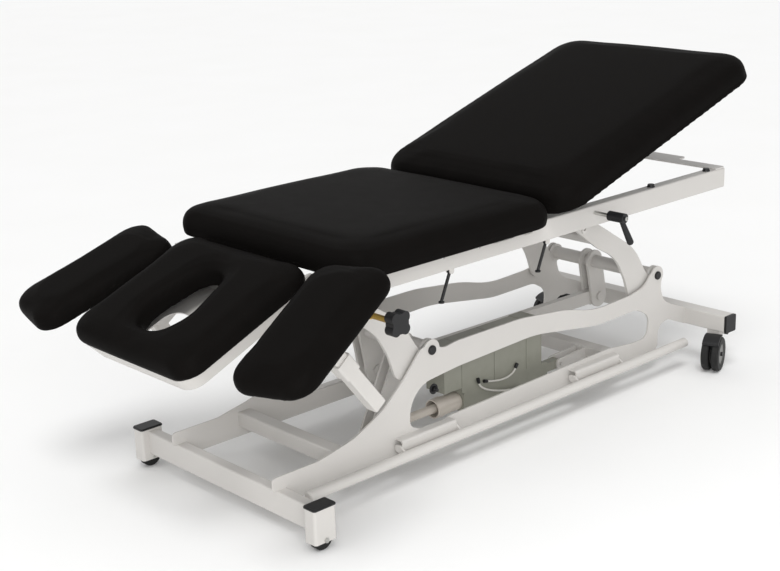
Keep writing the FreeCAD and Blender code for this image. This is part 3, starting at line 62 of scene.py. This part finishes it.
# %% The camera
FOCAL_PIXELS = 1440.65
IMAGE_WIDTH = 780.0
CENTRE_LEFT = 1.5
CENTRE_DOWN = 0.7
SENSOR_WIDTH = 36.0
CAMERA_PLACE = Vector((-2.53331, -2.5798, 1.4847))
CAMERA_RIGHT = Vector((0.7304, -0.6823, -0.0317))
CAMERA_UP = Vector((0.2207, 0.1918, 0.9563))
CAMERA_AHEAD = Vector((0.6464, 0.7054, -0.2907))
camera_data = bpy.data.cameras.new("photo_camera")
camera_data.sensor_width = SENSOR_WIDTH
camera_data.lens = camera_data.sensor_width * FOCAL_PIXELS / IMAGE_WIDTH
camera_data.shift_x = CENTRE_LEFT / IMAGE_WIDTH
camera_data.shift_y = -CENTRE_DOWN / IMAGE_WIDTH
camera_data.clip_end = 100.0
camera = bpy.data.objects.new("photo_camera", camera_data)
bpy.context.scene.collection.objects.link(camera)
columns = Matrix((CAMERA_RIGHT, CAMERA_UP, -CAMERA_AHEAD)).transposed()
camera.matrix_world = Matrix.Translation(CAMERA_PLACE) @ columns.to_4x4()
bpy.context.scene.camera = camera
print("lens", round(camera_data.lens, 2), "mm")

# %% [markdown]
# Colours are written as the sRGB hex values that a paint card or a photo shows.
# Blender's shaders add up light, so they want linear numbers. One function turns
# the first into the second.

# %% Colours
def linear(hexa):
    """An sRGB hex colour as linear red, green, blue and alpha."""
    values = []
    for i in (0, 2, 4):
        c = int(hexa[i:i + 2], 16) / 255
        values.append(c / 12.92 if c <= 0.04045 else ((c + 0.055) / 1.055) ** 2.4)
    return (*values, 1.0)


print("vinyl black in linear light", [round(v, 4) for v in linear("0E0D0C")[:3]])

# %% [markdown]
# A material is a small tree of nodes. One function adds a node, sets its options,
# and fills each input, with a link where the value is another node's output and
# with a number or colour otherwise. A second one starts a material with its shader
# and with coordinates in metres, so that a pattern's scale is one over its real size.

# %% Building materials
def add(tree, kind, inputs=None, **options):
    """A new node with its options set and its inputs filled or linked."""
    node = tree.nodes.new("ShaderNode" + kind)
    for name, value in options.items():
        setattr(node, name, value)
    for name, value in (inputs or {}).items():
        if isinstance(value, bpy.types.NodeSocket):
            tree.links.new(value, node.inputs[name])
        else:
            node.inputs[name].default_value = value
    return node


def start_material(name, **settings):
    """A material with a shader whose plain numbers are given, and its coordinates."""
    material = bpy.data.materials.new(name)
    material.use_nodes = True
    tree = material.node_tree
    shader = tree.nodes["Principled BSDF"]
    for key, value in settings.items():
        shader.inputs[key.replace("_", " ")].default_value = value
    place = add(tree, "TexCoord").outputs["Object"]
    return material, tree, shader, place


def connect(tree, shader, **sockets):
    """Links outputs to the shader's inputs."""
    for key, output in sockets.items():
        tree.links.new(output, shader.inputs[key.replace("_", " ")])


def finish_nodes(material, *names):
    """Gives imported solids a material."""
    for name in names:
        mesh = nodes[name].data
        mesh.materials.clear()
        mesh.materials.append(material)
    print(material.name, "on", len(names), "pieces")


# %% [markdown]
# The steel base and rails are powder coated: dry paint is sprayed on and baked, so
# it flows into a smooth, warm white skin with a faint orange-peel ripple. The ripple
# is about 1.5 mm wide on the real steel. At this distance a pixel is nearly 3 mm, so
# it is drawn at 5 mm, and a second, much larger noise moves the tone by a percent or two.

# %% Powder-coated steel, warm white
ORANGE_PEEL = 0.005
TONE_PATCH = 0.12
powder_coat, tree, shader, place = start_material(
    "powder_coated_steel_warm_white", Roughness=0.42, Specular_IOR_Level=0.4)
patches = add(tree, "TexNoise", {"Vector": place, "Scale": 1 / TONE_PATCH, "Detail": 3.0})
tone = add(tree, "Mix", {"Factor": patches.outputs["Fac"], "A": linear("D0CDC9"),
                         "B": linear("CBC8C4")}, data_type="RGBA")
ripple = add(tree, "TexNoise", {"Vector": place, "Scale": 1 / ORANGE_PEEL, "Detail": 2.0})
peel = add(tree, "Bump", {"Height": ripple.outputs["Fac"], "Strength": 0.06, "Distance": 0.0004})
gloss = add(tree, "MapRange", {"Value": patches.outputs["Fac"], "To Min": 0.38, "To Max": 0.46})
connect(tree, shader, Base_Color=tone.outputs["Result"], Normal=peel.outputs["Normal"],
        Roughness=gloss.outputs["Result"])
finish_nodes(
    powder_coat, "side_plate_near", "side_plate_far", "front_beam", "front_posts", "rear_beam",
    "base_cross_tubes", "foot_bar_brackets", "front_arm_near", "front_arm_far", "front_arm_hub",
    "rear_arm_near", "rear_arm_far", "rear_arm_hub", "coupler_bar", "rail_near", "rail_far",
    "top_cross_members", "top_end_plate", "armrest_hangers", "head_tray", "back_bar_near",
    "back_bar_far", "back_strap", "foot_bar_near", "foot_bar_far", "armrest_swing_near",
    "armrest_swing_far", "armrest_post_near", "armrest_post_far", "actuator_clevis")

# %% [markdown]
# Knobs, end caps, castors and handles are injection-moulded nylon and ABS. The mould
# is spark eroded, which leaves a fine, dull grain of about 0.5 mm. It is drawn at 2 mm
# so that it shows in close views.

# %% Moulded black nylon
MOULD_GRAIN = 0.002
black_nylon, tree, shader, place = start_material(
    "moulded_black_nylon", Roughness=0.45, Specular_IOR_Level=0.4)
grain = add(tree, "TexNoise", {"Vector": place, "Scale": 1 / MOULD_GRAIN, "Detail": 4.0})
shade = add(tree, "Mix", {"Factor": grain.outputs["Fac"], "A": linear("101011"),
                          "B": linear("1C1C1E")}, data_type="RGBA")
dull = add(tree, "MapRange", {"Value": grain.outputs["Fac"], "To Min": 0.38, "To Max": 0.55})
pits = add(tree, "Bump", {"Height": grain.outputs["Fac"], "Strength": 0.25, "Distance": 0.0003})
connect(tree, shader, Base_Color=shade.outputs["Result"], Roughness=dull.outputs["Result"],
        Normal=pits.outputs["Normal"])
finish_nodes(
    black_nylon, "frame_end_caps", "rail_bumpers", "armrest_knob_near", "armrest_knob_far",
    "back_clamp_handle", "castor_fork_near", "castor_fork_far", "castor_pedal_near",
    "castor_pedal_far", "head_release_rod", "back_release_rod", "head_spring_cylinder")

# %% [markdown]
# A castor wheel is two materials in one solid: a hard polyurethane tread on a paler
# nylon centre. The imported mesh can't be cut, so the material finds the tread itself,
# by the distance of each point from the wheel's axle. The cross product of the way
# from the axle and the axle's direction has that distance as its length. The small
# front wheels are rubber nearly to their axle.

# %% Wheels with a tread and a centre
CASTOR_CENTRE_RADIUS = 0.030
FRONT_CENTRE_RADIUS = 0.006
TREAD_EDGE = 0.0008


def wheel_finish(name, axle, along, centre_radius):
    """A tyre and its centre, told apart by the distance from the axle."""
    wheel, tree, shader, place = start_material(name, Specular_IOR_Level=0.4)
    from_axle = add(tree, "VectorMath", {0: place, 1: axle}, operation="SUBTRACT")
    beside = add(tree, "VectorMath", {0: from_axle.outputs["Vector"], 1: along},
                 operation="CROSS_PRODUCT")
    distance = add(tree, "VectorMath", {0: beside.outputs["Vector"]}, operation="LENGTH")
    tread = add(tree, "MapRange", {"Value": distance.outputs["Value"],
                                   "From Min": centre_radius - TREAD_EDGE,
                                   "From Max": centre_radius + TREAD_EDGE})
    speckle = add(tree, "TexNoise", {"Vector": place, "Scale": 1 / MOULD_GRAIN, "Detail": 3.0})
    centre = add(tree, "Mix", {"Factor": speckle.outputs["Fac"], "A": linear("6E6E6C"),
                               "B": linear("7C7C79")}, data_type="RGBA")
    rubber = add(tree, "Mix", {"Factor": speckle.outputs["Fac"], "A": linear("0E0E0E"),
                               "B": linear("161615")}, data_type="RGBA")
    colour = add(tree, "Mix", {"Factor": tread.outputs["Result"], "A": centre.outputs["Result"],
                               "B": rubber.outputs["Result"]}, data_type="RGBA")
    rough = add(tree, "MapRange", {"Value": tread.outputs["Result"], "To Min": 0.4, "To Max": 0.62})
    scuffs = add(tree, "Bump", {"Height": speckle.outputs["Fac"], "Strength": 0.2, "Distance": 0.0003})
    connect(tree, shader, Base_Color=colour.outputs["Result"], Roughness=rough.outputs["Result"],
            Normal=scuffs.outputs["Normal"])
    return wheel


joints = {joint["name"]: joint for joint in frame["joints"]}
for side in ("near", "far"):
    for finish, spin_name, wheel_node, radius in (
            ("polyurethane_tread_", "castor_wheel_spin_", "castor_wheels_", CASTOR_CENTRE_RADIUS),
            ("front_wheel_rubber_", "front_wheel_spin_", "front_wheel_", FRONT_CENTRE_RADIUS)):
        spin = joints[spin_name + side]
        finish_nodes(wheel_finish(finish + side, spin["pos_m"], spin["axis"], radius), wheel_node + side)

# %% [markdown]
# The control box and the actuator's housing are moulded ABS in a grey-green. ABS has a
# satin skin and hardly any grain, so only a soft mottle and a slight ripple are drawn.

# %% Moulded ABS, grey-green
MOTTLE = 0.03
grey_abs, tree, shader, place = start_material("moulded_abs_grey_green", Specular_IOR_Level=0.45)
clouds = add(tree, "TexNoise", {"Vector": place, "Scale": 1 / MOTTLE, "Detail": 4.0})
grey = add(tree, "Mix", {"Factor": clouds.outputs["Fac"], "A": linear("929287"),
                         "B": linear("88887D")}, data_type="RGBA")
satin = add(tree, "MapRange", {"Value": clouds.outputs["Fac"], "To Min": 0.42, "To Max": 0.52})
skin = add(tree, "Bump", {"Height": clouds.outputs["Fac"], "Strength": 0.1, "Distance": 0.0005})
connect(tree, shader, Base_Color=grey.outputs["Result"], Roughness=satin.outputs["Result"],
        Normal=skin.outputs["Normal"])
finish_nodes(grey_abs, "control_box", "actuator_housing")

# %% [markdown]
# The actuator's outer tube is drawn aluminium with a beige anodised skin, and the rod
# inside it has the same colour. Drawing a tube through a die leaves fine scratches
# along it, so the noise is stretched forty times along the table.

# %% Anodised aluminium tube, beige
DRAW_LINE = 0.0015
DRAW_STRETCH = 40
beige_tube, tree, shader, place = start_material("anodised_tube_beige", Metallic=0.25, Roughness=0.42)
stretched = add(tree, "Mapping", {"Vector": place, "Scale": (1 / DRAW_STRETCH, 1.0, 1.0)})
lines = add(tree, "TexNoise", {"Vector": stretched.outputs["Vector"], "Scale": 1 / DRAW_LINE,
                               "Detail": 2.0})
beige = add(tree, "Mix", {"Factor": lines.outputs["Fac"], "A": linear("DAD2C8"),
                          "B": linear("CFC7BD")}, data_type="RGBA")
brushed = add(tree, "MapRange", {"Value": lines.outputs["Fac"], "To Min": 0.36, "To Max": 0.5})
connect(tree, shader, Base_Color=beige.outputs["Result"], Roughness=brushed.outputs["Result"])
finish_nodes(beige_tube, "actuator_tube", "actuator_rod")

# %% [markdown]
# Shafts, bolts and axles are zinc-plated or chromed steel. Bright metal shows its
# surroundings, so it only needs a neutral colour, full metallic and a little uneven
# roughness. The armrests' studs are brass and the back section's stud is plated, in
# one solid, so that finish changes colour halfway along the table.

# %% Bright steel and brass
SMEAR = 0.006
COLOUR_STEP = 0.001


def bright_metal(name, light, dark, low, high, rear=None):
    """Plated or polished metal with slightly uneven gloss."""
    metal, tree, shader, place = start_material(name, Metallic=1.0)
    smears = add(tree, "TexNoise", {"Vector": place, "Scale": 1 / SMEAR, "Detail": 5.0})
    colour = add(tree, "Mix", {"Factor": smears.outputs["Fac"], "A": linear(light),
                               "B": linear(dark)}, data_type="RGBA")
    rough = add(tree, "MapRange", {"Value": smears.outputs["Fac"], "To Min": low, "To Max": high})
    if rear:
        axes = add(tree, "SeparateXYZ", {"Vector": place})
        behind = add(tree, "MapRange", {"Value": axes.outputs["X"], "From Min": 0.0,
                                        "From Max": COLOUR_STEP})
        plated = add(tree, "Mix", {"Factor": smears.outputs["Fac"], "A": linear(rear[0]),
                                   "B": linear(rear[1])}, data_type="RGBA")
        colour = add(tree, "Mix", {"Factor": behind.outputs["Result"], "A": colour.outputs["Result"],
                                   "B": plated.outputs["Result"]}, data_type="RGBA")
    connect(tree, shader, Base_Color=colour.outputs["Result"], Roughness=rough.outputs["Result"])
    return metal


zinc_steel = bright_metal("zinc_plated_steel", "C9C9C6", "B4B4B0", 0.24, 0.4)
brass = bright_metal("turned_brass", "C9A95E", "AE8E46", 0.25, 0.4, rear=("D4D4D1", "C4C4C0"))
finish_nodes(zinc_steel, "head_spring_rod", "front_wheel_bolts", "lift_axles")
finish_nodes(brass, "clamp_studs")

# %% [markdown]
# The cushions are covered in black vinyl: PVC calendered on a knitted backing and
# embossed with a fine leather grain. The grain's cells are about 1.5 mm, drawn here
# as Voronoi cells of 3 mm. This vinyl is nearly black and dull, so what the eye reads
# is a faint sheen along the rounded edges: a middling roughness, and a specular level
# far below normal, because at a low angle a normal one would turn the tops grey.

# %% Calendered vinyl, black
GRAIN_CELL = 0.003
CREASE = 0.05
vinyl, tree, shader, place = start_material("calendered_vinyl_black", Specular_IOR_Level=0.015)
cells = add(tree, "TexVoronoi", {"Vector": place, "Scale": 1 / GRAIN_CELL},
            feature="DISTANCE_TO_EDGE")
wrinkles = add(tree, "TexNoise", {"Vector": place, "Scale": 1 / CREASE, "Detail": 4.0})
black = add(tree, "Mix", {"Factor": wrinkles.outputs["Fac"], "A": linear("0E0D0C"),
                          "B": linear("131110")}, data_type="RGBA")
sheen = add(tree, "MapRange", {"Value": wrinkles.outputs["Fac"], "To Min": 0.46, "To Max": 0.54})
valleys = add(tree, "MapRange", {"Value": cells.outputs["Distance"], "From Max": 0.12})
embossed = add(tree, "Bump", {"Height": valleys.outputs["Result"], "Strength": 0.18, "Distance": 0.0004})
connect(tree, shader, Base_Color=black.outputs["Result"], Roughness=sheen.outputs["Result"],
        Normal=embossed.outputs["Normal"])
print("vinyl ready")

# %% [markdown]
# A cushion is a foam block on a board, wrapped in vinyl that is pulled tight and
# stapled under the board. Modelling it by hand gives a stiff block, so the cover is
# made by simulation: the solid is copied, shrunk a little and remeshed into even
# squares, then blown up like a balloon by a cloth with inner pressure. The points
# under the board are held still, and no point may move further than a few
# millimetres, because this foam is firm. Each line below gives a cushion's cover, the
# body it rides on, the side of its squares, and how far a point may move.

# %% Blank covers for the five cushions
CUSHIONS = {
    "mid_pad": ("mid_cushion_cover", "top_frame", 0.009, 0.004),
    "back_pad": ("back_cushion_cover", "back_section", 0.009, 0.008),
    "head_pad": ("head_cushion_cover", "head_section", 0.006, 0.004),
    "armrest_pad_near": ("armrest_cushion_cover_near", "armrest_near", 0.006, 0.005),
    "armrest_pad_far": ("armrest_cushion_cover_far", "armrest_far", 0.006, 0.005),
}
SHRINK = 0.0015


def evaluated_mesh(thing):
    """The mesh that a thing has after its modifiers."""
    graph = bpy.context.evaluated_depsgraph_get()
    return bpy.data.meshes.new_from_object(thing.evaluated_get(graph), depsgraph=graph)


def blank_cover(node, name, square):
    """A copy of a cushion solid in even squares, a little smaller than the solid."""
    cover = bpy.data.objects.new(name, nodes[node].data.copy())
    bpy.context.scene.collection.objects.link(cover)
    remesh = cover.modifiers.new("even_squares", "REMESH")
    remesh.mode = "VOXEL"
    remesh.voxel_size = square
    even = evaluated_mesh(cover)
    cover.modifiers.clear()
    cover.data = even
    for vertex in even.vertices:
        vertex.co -= vertex.normal * SHRINK
    return cover


covers = {}
for node, (name, body, square, reach) in CUSHIONS.items():
    covers[node] = blank_cover(node, name, square)
    print(name, len(covers[node].data.vertices), "points")

# %% [markdown]
# The board side is found from the normals: each cushion has one direction that
# points out of its underside. Points that face that way are pinned.

# %% Holding the board side
BOARD_FACING = 0.55


def pin_board_side(cover, under):
    """Holds the points that face the board."""
    group = cover.vertex_groups.new(name="board_side")
    held = [v.index for v in cover.data.vertices if v.normal.dot(under) > BOARD_FACING]
    group.add(held, 1.0, "REPLACE")
    return len(held)


def underside(cover):
    """The direction out of a cushion's underside: against its largest flat face."""
    total = Vector()
    for face in cover.data.polygons:
        if face.normal.z < 0:
            total += face.normal * face.area * face.normal.z * face.normal.z
    return total.normalized()


print("board side: normals within", round(math.degrees(math.acos(BOARD_FACING))), "degrees")

# %% [markdown]
# A cloth with inner pressure grows until its stretch holds the air in. Twenty frames
# are enough, as only the direction of each point's move matters: the length is cut
# to the cushion's limit later. The cloth is stiff in stretch and soft in bending, as
# coated fabric is, and gravity is off, because the foam carries the cover.

# %% Blowing the covers up
CLOTH_FRAMES = 20
for cover in covers.values():
    held = pin_board_side(cover, underside(cover))
    cloth = cover.modifiers.new("tight_vinyl", "CLOTH")
    cloth.settings.quality = 4
    cloth.settings.mass = 0.3
    cloth.settings.tension_stiffness = 30
    cloth.settings.compression_stiffness = 30
    cloth.settings.shear_stiffness = 15
    cloth.settings.bending_stiffness = 2
    cloth.settings.use_pressure = True
    cloth.settings.uniform_pressure_force = 4
    cloth.settings.vertex_group_mass = "board_side"
    cloth.settings.effector_weights.gravity = 0
    cloth.point_cache.frame_start = 1
    cloth.point_cache.frame_end = CLOTH_FRAMES
    print(cover.name, held, "points held")
for number in range(1, CLOTH_FRAMES + 1):
    bpy.context.scene.frame_set(number)
print("covers blown up")

# %% [markdown]
# Thin cloth under pressure puckers near the corners, and tight vinyl over foam
# doesn't. So each point's move is averaged with its neighbours' a few times, and the
# small puckers fade while the broad swelling stays. Each cover then takes the place
# of its solid and rides on the same body.

# %% Evening the swelling and dressing the cushions
EVENING_ROUNDS = 12


def evened(steps, edges, held):
    """Averages each point's step with its neighbours', except where it is held."""
    beside = [[] for step in steps]
    for edge in edges:
        first, second = edge.vertices
        beside[first].append(second)
        beside[second].append(first)
    for number in range(EVENING_ROUNDS):
        steps = [step if i in held
                 else sum((steps[j] for j in beside[i]), step.copy()) / (len(beside[i]) + 1)
                 for i, step in enumerate(steps)]
    return steps


for node, (name, body, square, reach) in CUSHIONS.items():
    cover = covers[node]
    start = [v.co.copy() for v in cover.data.vertices]
    held = {v.index for v in cover.data.vertices if v.groups}
    swollen = evaluated_mesh(cover)
    cover.modifiers.clear()
    steps = [v.co - before for v, before in zip(swollen.vertices, start)]
    furthest = max(step.length for step in steps)
    steps = evened(steps, swollen.edges, held)
    for vertex, before, step in zip(swollen.vertices, start, steps):
        if step.length > reach:
            step = step.normalized() * reach
        vertex.co = before + step
    cover.data = swollen
    swollen.materials.clear()
    swollen.materials.append(vinyl)
    swollen.polygons.foreach_set("use_smooth", [True] * len(swollen.polygons))
    finer = cover.modifiers.new("finer", "SUBSURF")
    finer.levels = 1
    finer.render_levels = 1
    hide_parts(node)
    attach(cover, body)
    print(name, "swelled by", round(furthest * 1000, 1), "mm before the cap")
bpy.context.scene.frame_set(1)

# %% [markdown]
# Two thin grey leads run over the control box, each held in a black plug at both
# ends. A lead is one smooth curve: its few points are the corners of the route, and
# a NURBS spline of order 3 rounds them without ever reaching them.

# %% Leads on the control box
LEAD_DIAMETER = 0.0055
LEAD_MOTTLE = 0.01
lead_rubber, tree, shader, place = start_material(
    "pvc_lead_grey", Roughness=0.45, Specular_IOR_Level=0.4)
mould = add(tree, "TexNoise", {"Vector": place, "Scale": 1 / LEAD_MOTTLE, "Detail": 2.0})
lead_grey = add(tree, "Mix", {"Factor": mould.outputs["Fac"], "A": linear("D6D4CE"),
                              "B": linear("C8C6C0")}, data_type="RGBA")
connect(tree, shader, Base_Color=lead_grey.outputs["Result"])


def lead(name, points):
    """A round lead along a smooth spline."""
    curve = bpy.data.curves.new(name, "CURVE")
    curve.dimensions = "3D"
    curve.bevel_depth = LEAD_DIAMETER / 2
    curve.bevel_resolution = 4
    curve.resolution_u = 12
    spline = curve.splines.new("NURBS")
    spline.points.add(len(points) - 1)
    for point, spot in zip(spline.points, points):
        point.co = (*spot, 1.0)
    spline.order_u = 3
    spline.use_endpoint_u = True
    curve.materials.append(lead_rubber)
    piece = bpy.data.objects.new(name, curve)
    bpy.context.scene.collection.objects.link(piece)
    return piece


def spline_length(name, points):
    """The length of the smooth line through a lead's points."""
    bare = lead(name, points)
    bare.data.bevel_depth = 0.0
    line = evaluated_mesh(bare)
    steps = [line.vertices[i + 1].co - line.vertices[i].co for i in range(len(line.vertices) - 1)]
    bpy.data.objects.remove(bare)
    return sum(step.length for step in steps)


print("lead material ready")

# %% [markdown]
# Plugs, washers, nuts and screw heads are all turned on a lathe or a header, so one
# helper makes them all: it spins a profile of lengths and radii about a direction.
# Six sides give a hexagon nut, and thirty-two give a round part.

# %% A lathe for small parts
def turned(name, profile, place, direction, material, body, sides=32):
    """A piece spun from (along, radius) pairs about a direction from a point."""
    turn = Vector(direction).normalized().to_track_quat("Z", "Y")
    rings = []
    build = bmesh.new()
    for along, radius in profile:
        ring = []
        for i in range(sides):
            angle = 2 * math.pi * i / sides
            point = Vector((radius * math.cos(angle), radius * math.sin(angle), along))
            ring.append(build.verts.new(turn @ point + Vector(place)))
        rings.append(ring)
    for low, high in zip(rings, rings[1:]):
        for i in range(sides):
            j = (i + 1) % sides
            build.faces.new((low[i], low[j], high[j], high[i]))
    build.faces.new(list(reversed(rings[0])))
    build.faces.new(rings[-1])
    mesh = bpy.data.meshes.new(name)
    build.to_mesh(mesh)
    build.free()
    mesh.materials.append(material)
    piece = bpy.data.objects.new(name, mesh)
    bpy.context.scene.collection.objects.link(piece)
    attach(piece, body)
    return piece


print("lathe ready")

# %% [markdown]
# Each lead's middle point is set where the two ends' directions meet, so that the
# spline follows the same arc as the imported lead. The rubber plugs taper towards the
# lead, as a strain relief does.

# %% The two leads and their plugs
LEAD_Y = -0.1263
LEADS = {
    "upper_lead": ((0.166686, LEAD_Y, 0.136), (0.145686, LEAD_Y, 0.1045), (0.056686, LEAD_Y, 0.129)),
    "lower_lead": ((0.024686, LEAD_Y, 0.133), (0.032686, LEAD_Y, 0.1015), (0.160686, LEAD_Y, 0.076)),
}
PLUG = ((-0.001, 0.0030), (0.0005, 0.0040), (0.003, 0.0045),
        (0.012, 0.0048), (0.0138, 0.0044), (0.014, 0.0036))
for name, points in LEADS.items():
    cable = lead(name, points)
    first, middle, last = points
    for word, end in (("start", first), ("end", last)):
        out = Vector(end) - Vector(middle)
        turned(name + "_plug_" + word, PLUG, end, out, black_nylon,
                           "actuator_body")
    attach(cable, "actuator_body")
    length = spline_length(name + "_line", points)
    if name == "upper_lead":
        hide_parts("actuator_cables")
    print(name, round(length * 1000, 1), "mm long")

# %% [markdown]
# The bar that joins the two arms is pinned to each arm's hub, and each pin carries a
# black washer and a domed nut. The clamp handle has a bright cap screw in its hub, with
# a sunk middle for the key. Their places are read from the near side of each node's
# box. That is a known fault here: a hub's box ends at its arm, so the washers and nuts
# stand in line with their pins but about 200 mm nearer, in the air, and the screw
# stands about 4 mm off its hub. The pin's own end would be the place to measure.

# %% Washers, nuts and a screw
WASHER = ((0.0, 0.0135), (0.0024, 0.0135), (0.003, 0.0128), (0.003, 0.006))
NUT = ((0.003, 0.0070), (0.0035, 0.0078), (0.0095, 0.0078), (0.0105, 0.0068))
DOME = ((0.0105, 0.0052), (0.014, 0.0050), (0.016, 0.0036), (0.0167, 0.0015))
SCREW = ((-0.001, 0.0050), (0.0, 0.0058), (0.0018, 0.0058),
         (0.0024, 0.0050), (0.0024, 0.0030), (0.0008, 0.0028))
REAR_PIN = (0.712686, 0.048, 0.178)
TOWARD_NEAR = (0, -1, 0)
for word, pin in (("front", joints["coupler_front_pivot"]["pos_m"]), ("rear", REAR_PIN)):
    spot = (pin[0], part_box(word + "_arm_hub")[0][1], pin[2])
    for piece_name, profile, sides in (("washer", WASHER, 32), ("nut", NUT, 6), ("cap", DOME, 32)):
        turned("coupler_" + piece_name + "_" + word, profile, spot, TOWARD_NEAR, black_nylon,
               word + "_rocker", sides)
handle = joints["back_clamp_turn"]["pos_m"]
hub_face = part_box("back_clamp_handle")[0][1]
turned("handle_screw", SCREW, (handle[0], hub_face, handle[2]), TOWARD_NEAR, zinc_steel,
       "back_clamp_handle")
print("fasteners ready")

# %% [markdown]
# The studio is plain: a large pale floor, a white sky that lights everything evenly,
# and two soft lamps. One high, broad sun draws the faint shadow under the table, and
# one low, wide lamp before the head end evens out the upright faces that look that way.

# %% Floor and light
FLOOR_HALF = 40.0
PAPER_CLOUD = 0.5
floor_mesh = bpy.data.meshes.new("studio_floor")
corners = [(-FLOOR_HALF, -FLOOR_HALF, 0), (FLOOR_HALF, -FLOOR_HALF, 0),
           (FLOOR_HALF, FLOOR_HALF, 0), (-FLOOR_HALF, FLOOR_HALF, 0)]
floor_mesh.from_pydata(corners, [], [(0, 1, 2, 3)])
floor = bpy.data.objects.new("studio_floor", floor_mesh)
bpy.context.scene.collection.objects.link(floor)
paper, tree, shader, place = start_material("pale_paper_floor", Roughness=0.9, Specular_IOR_Level=0.1)
fibre = add(tree, "TexNoise", {"Vector": place, "Scale": 1 / PAPER_CLOUD, "Detail": 2.0})
pale = add(tree, "Mix", {"Factor": fibre.outputs["Fac"], "A": linear("F9F9F9"),
                         "B": linear("F6F6F5")}, data_type="RGBA")
connect(tree, shader, Base_Color=pale.outputs["Result"])
floor_mesh.materials.append(paper)
print("floor", 2 * FLOOR_HALF, "m wide")

# %% [markdown]
# The sky's light has no direction. The sun and the lamp are kept weak beside it, so
# that a colour comes out about as it was written.

# %% Sky and lamps
SKY_STRENGTH = 0.7
SUN_STRENGTH = 1.1
SUN_SPREAD = 25
SUN_DIRECTION = Vector((0.35, 0.3, -1.0))
LAMP_PLACE = (-2.4, -3.2, 1.5)
LAMP_TARGET = (0.1, 0, 0.4)
LAMP_SIZE = 2.4
LAMP_POWER = 58
world = bpy.data.worlds.new("studio_sky")
world.use_nodes = True
sky = world.node_tree.nodes["Background"]
sky.inputs["Color"].default_value = (1.0, 1.0, 1.0, 1.0)
sky.inputs["Strength"].default_value = SKY_STRENGTH
bpy.context.scene.world = world
sun_data = bpy.data.lights.new("high_lamp", "SUN")
sun_data.energy = SUN_STRENGTH
sun_data.angle = math.radians(SUN_SPREAD)
sun = bpy.data.objects.new("high_lamp", sun_data)
sun.rotation_euler = SUN_DIRECTION.to_track_quat("-Z", "Y").to_euler()
bpy.context.scene.collection.objects.link(sun)
lamp_data = bpy.data.lights.new("low_wide_lamp", "AREA")
lamp_data.size = LAMP_SIZE
lamp_data.energy = LAMP_POWER
lamp = bpy.data.objects.new("low_wide_lamp", lamp_data)
lamp.location = LAMP_PLACE
aim = Vector(LAMP_TARGET) - Vector(LAMP_PLACE)
lamp.rotation_euler = aim.to_track_quat("-Z", "Y").to_euler()
bpy.context.scene.collection.objects.link(lamp)
print("light ready")

# %% [markdown]
# Last come the colour settings.

# %% Finish
bpy.context.scene.view_settings.view_transform = "Standard"
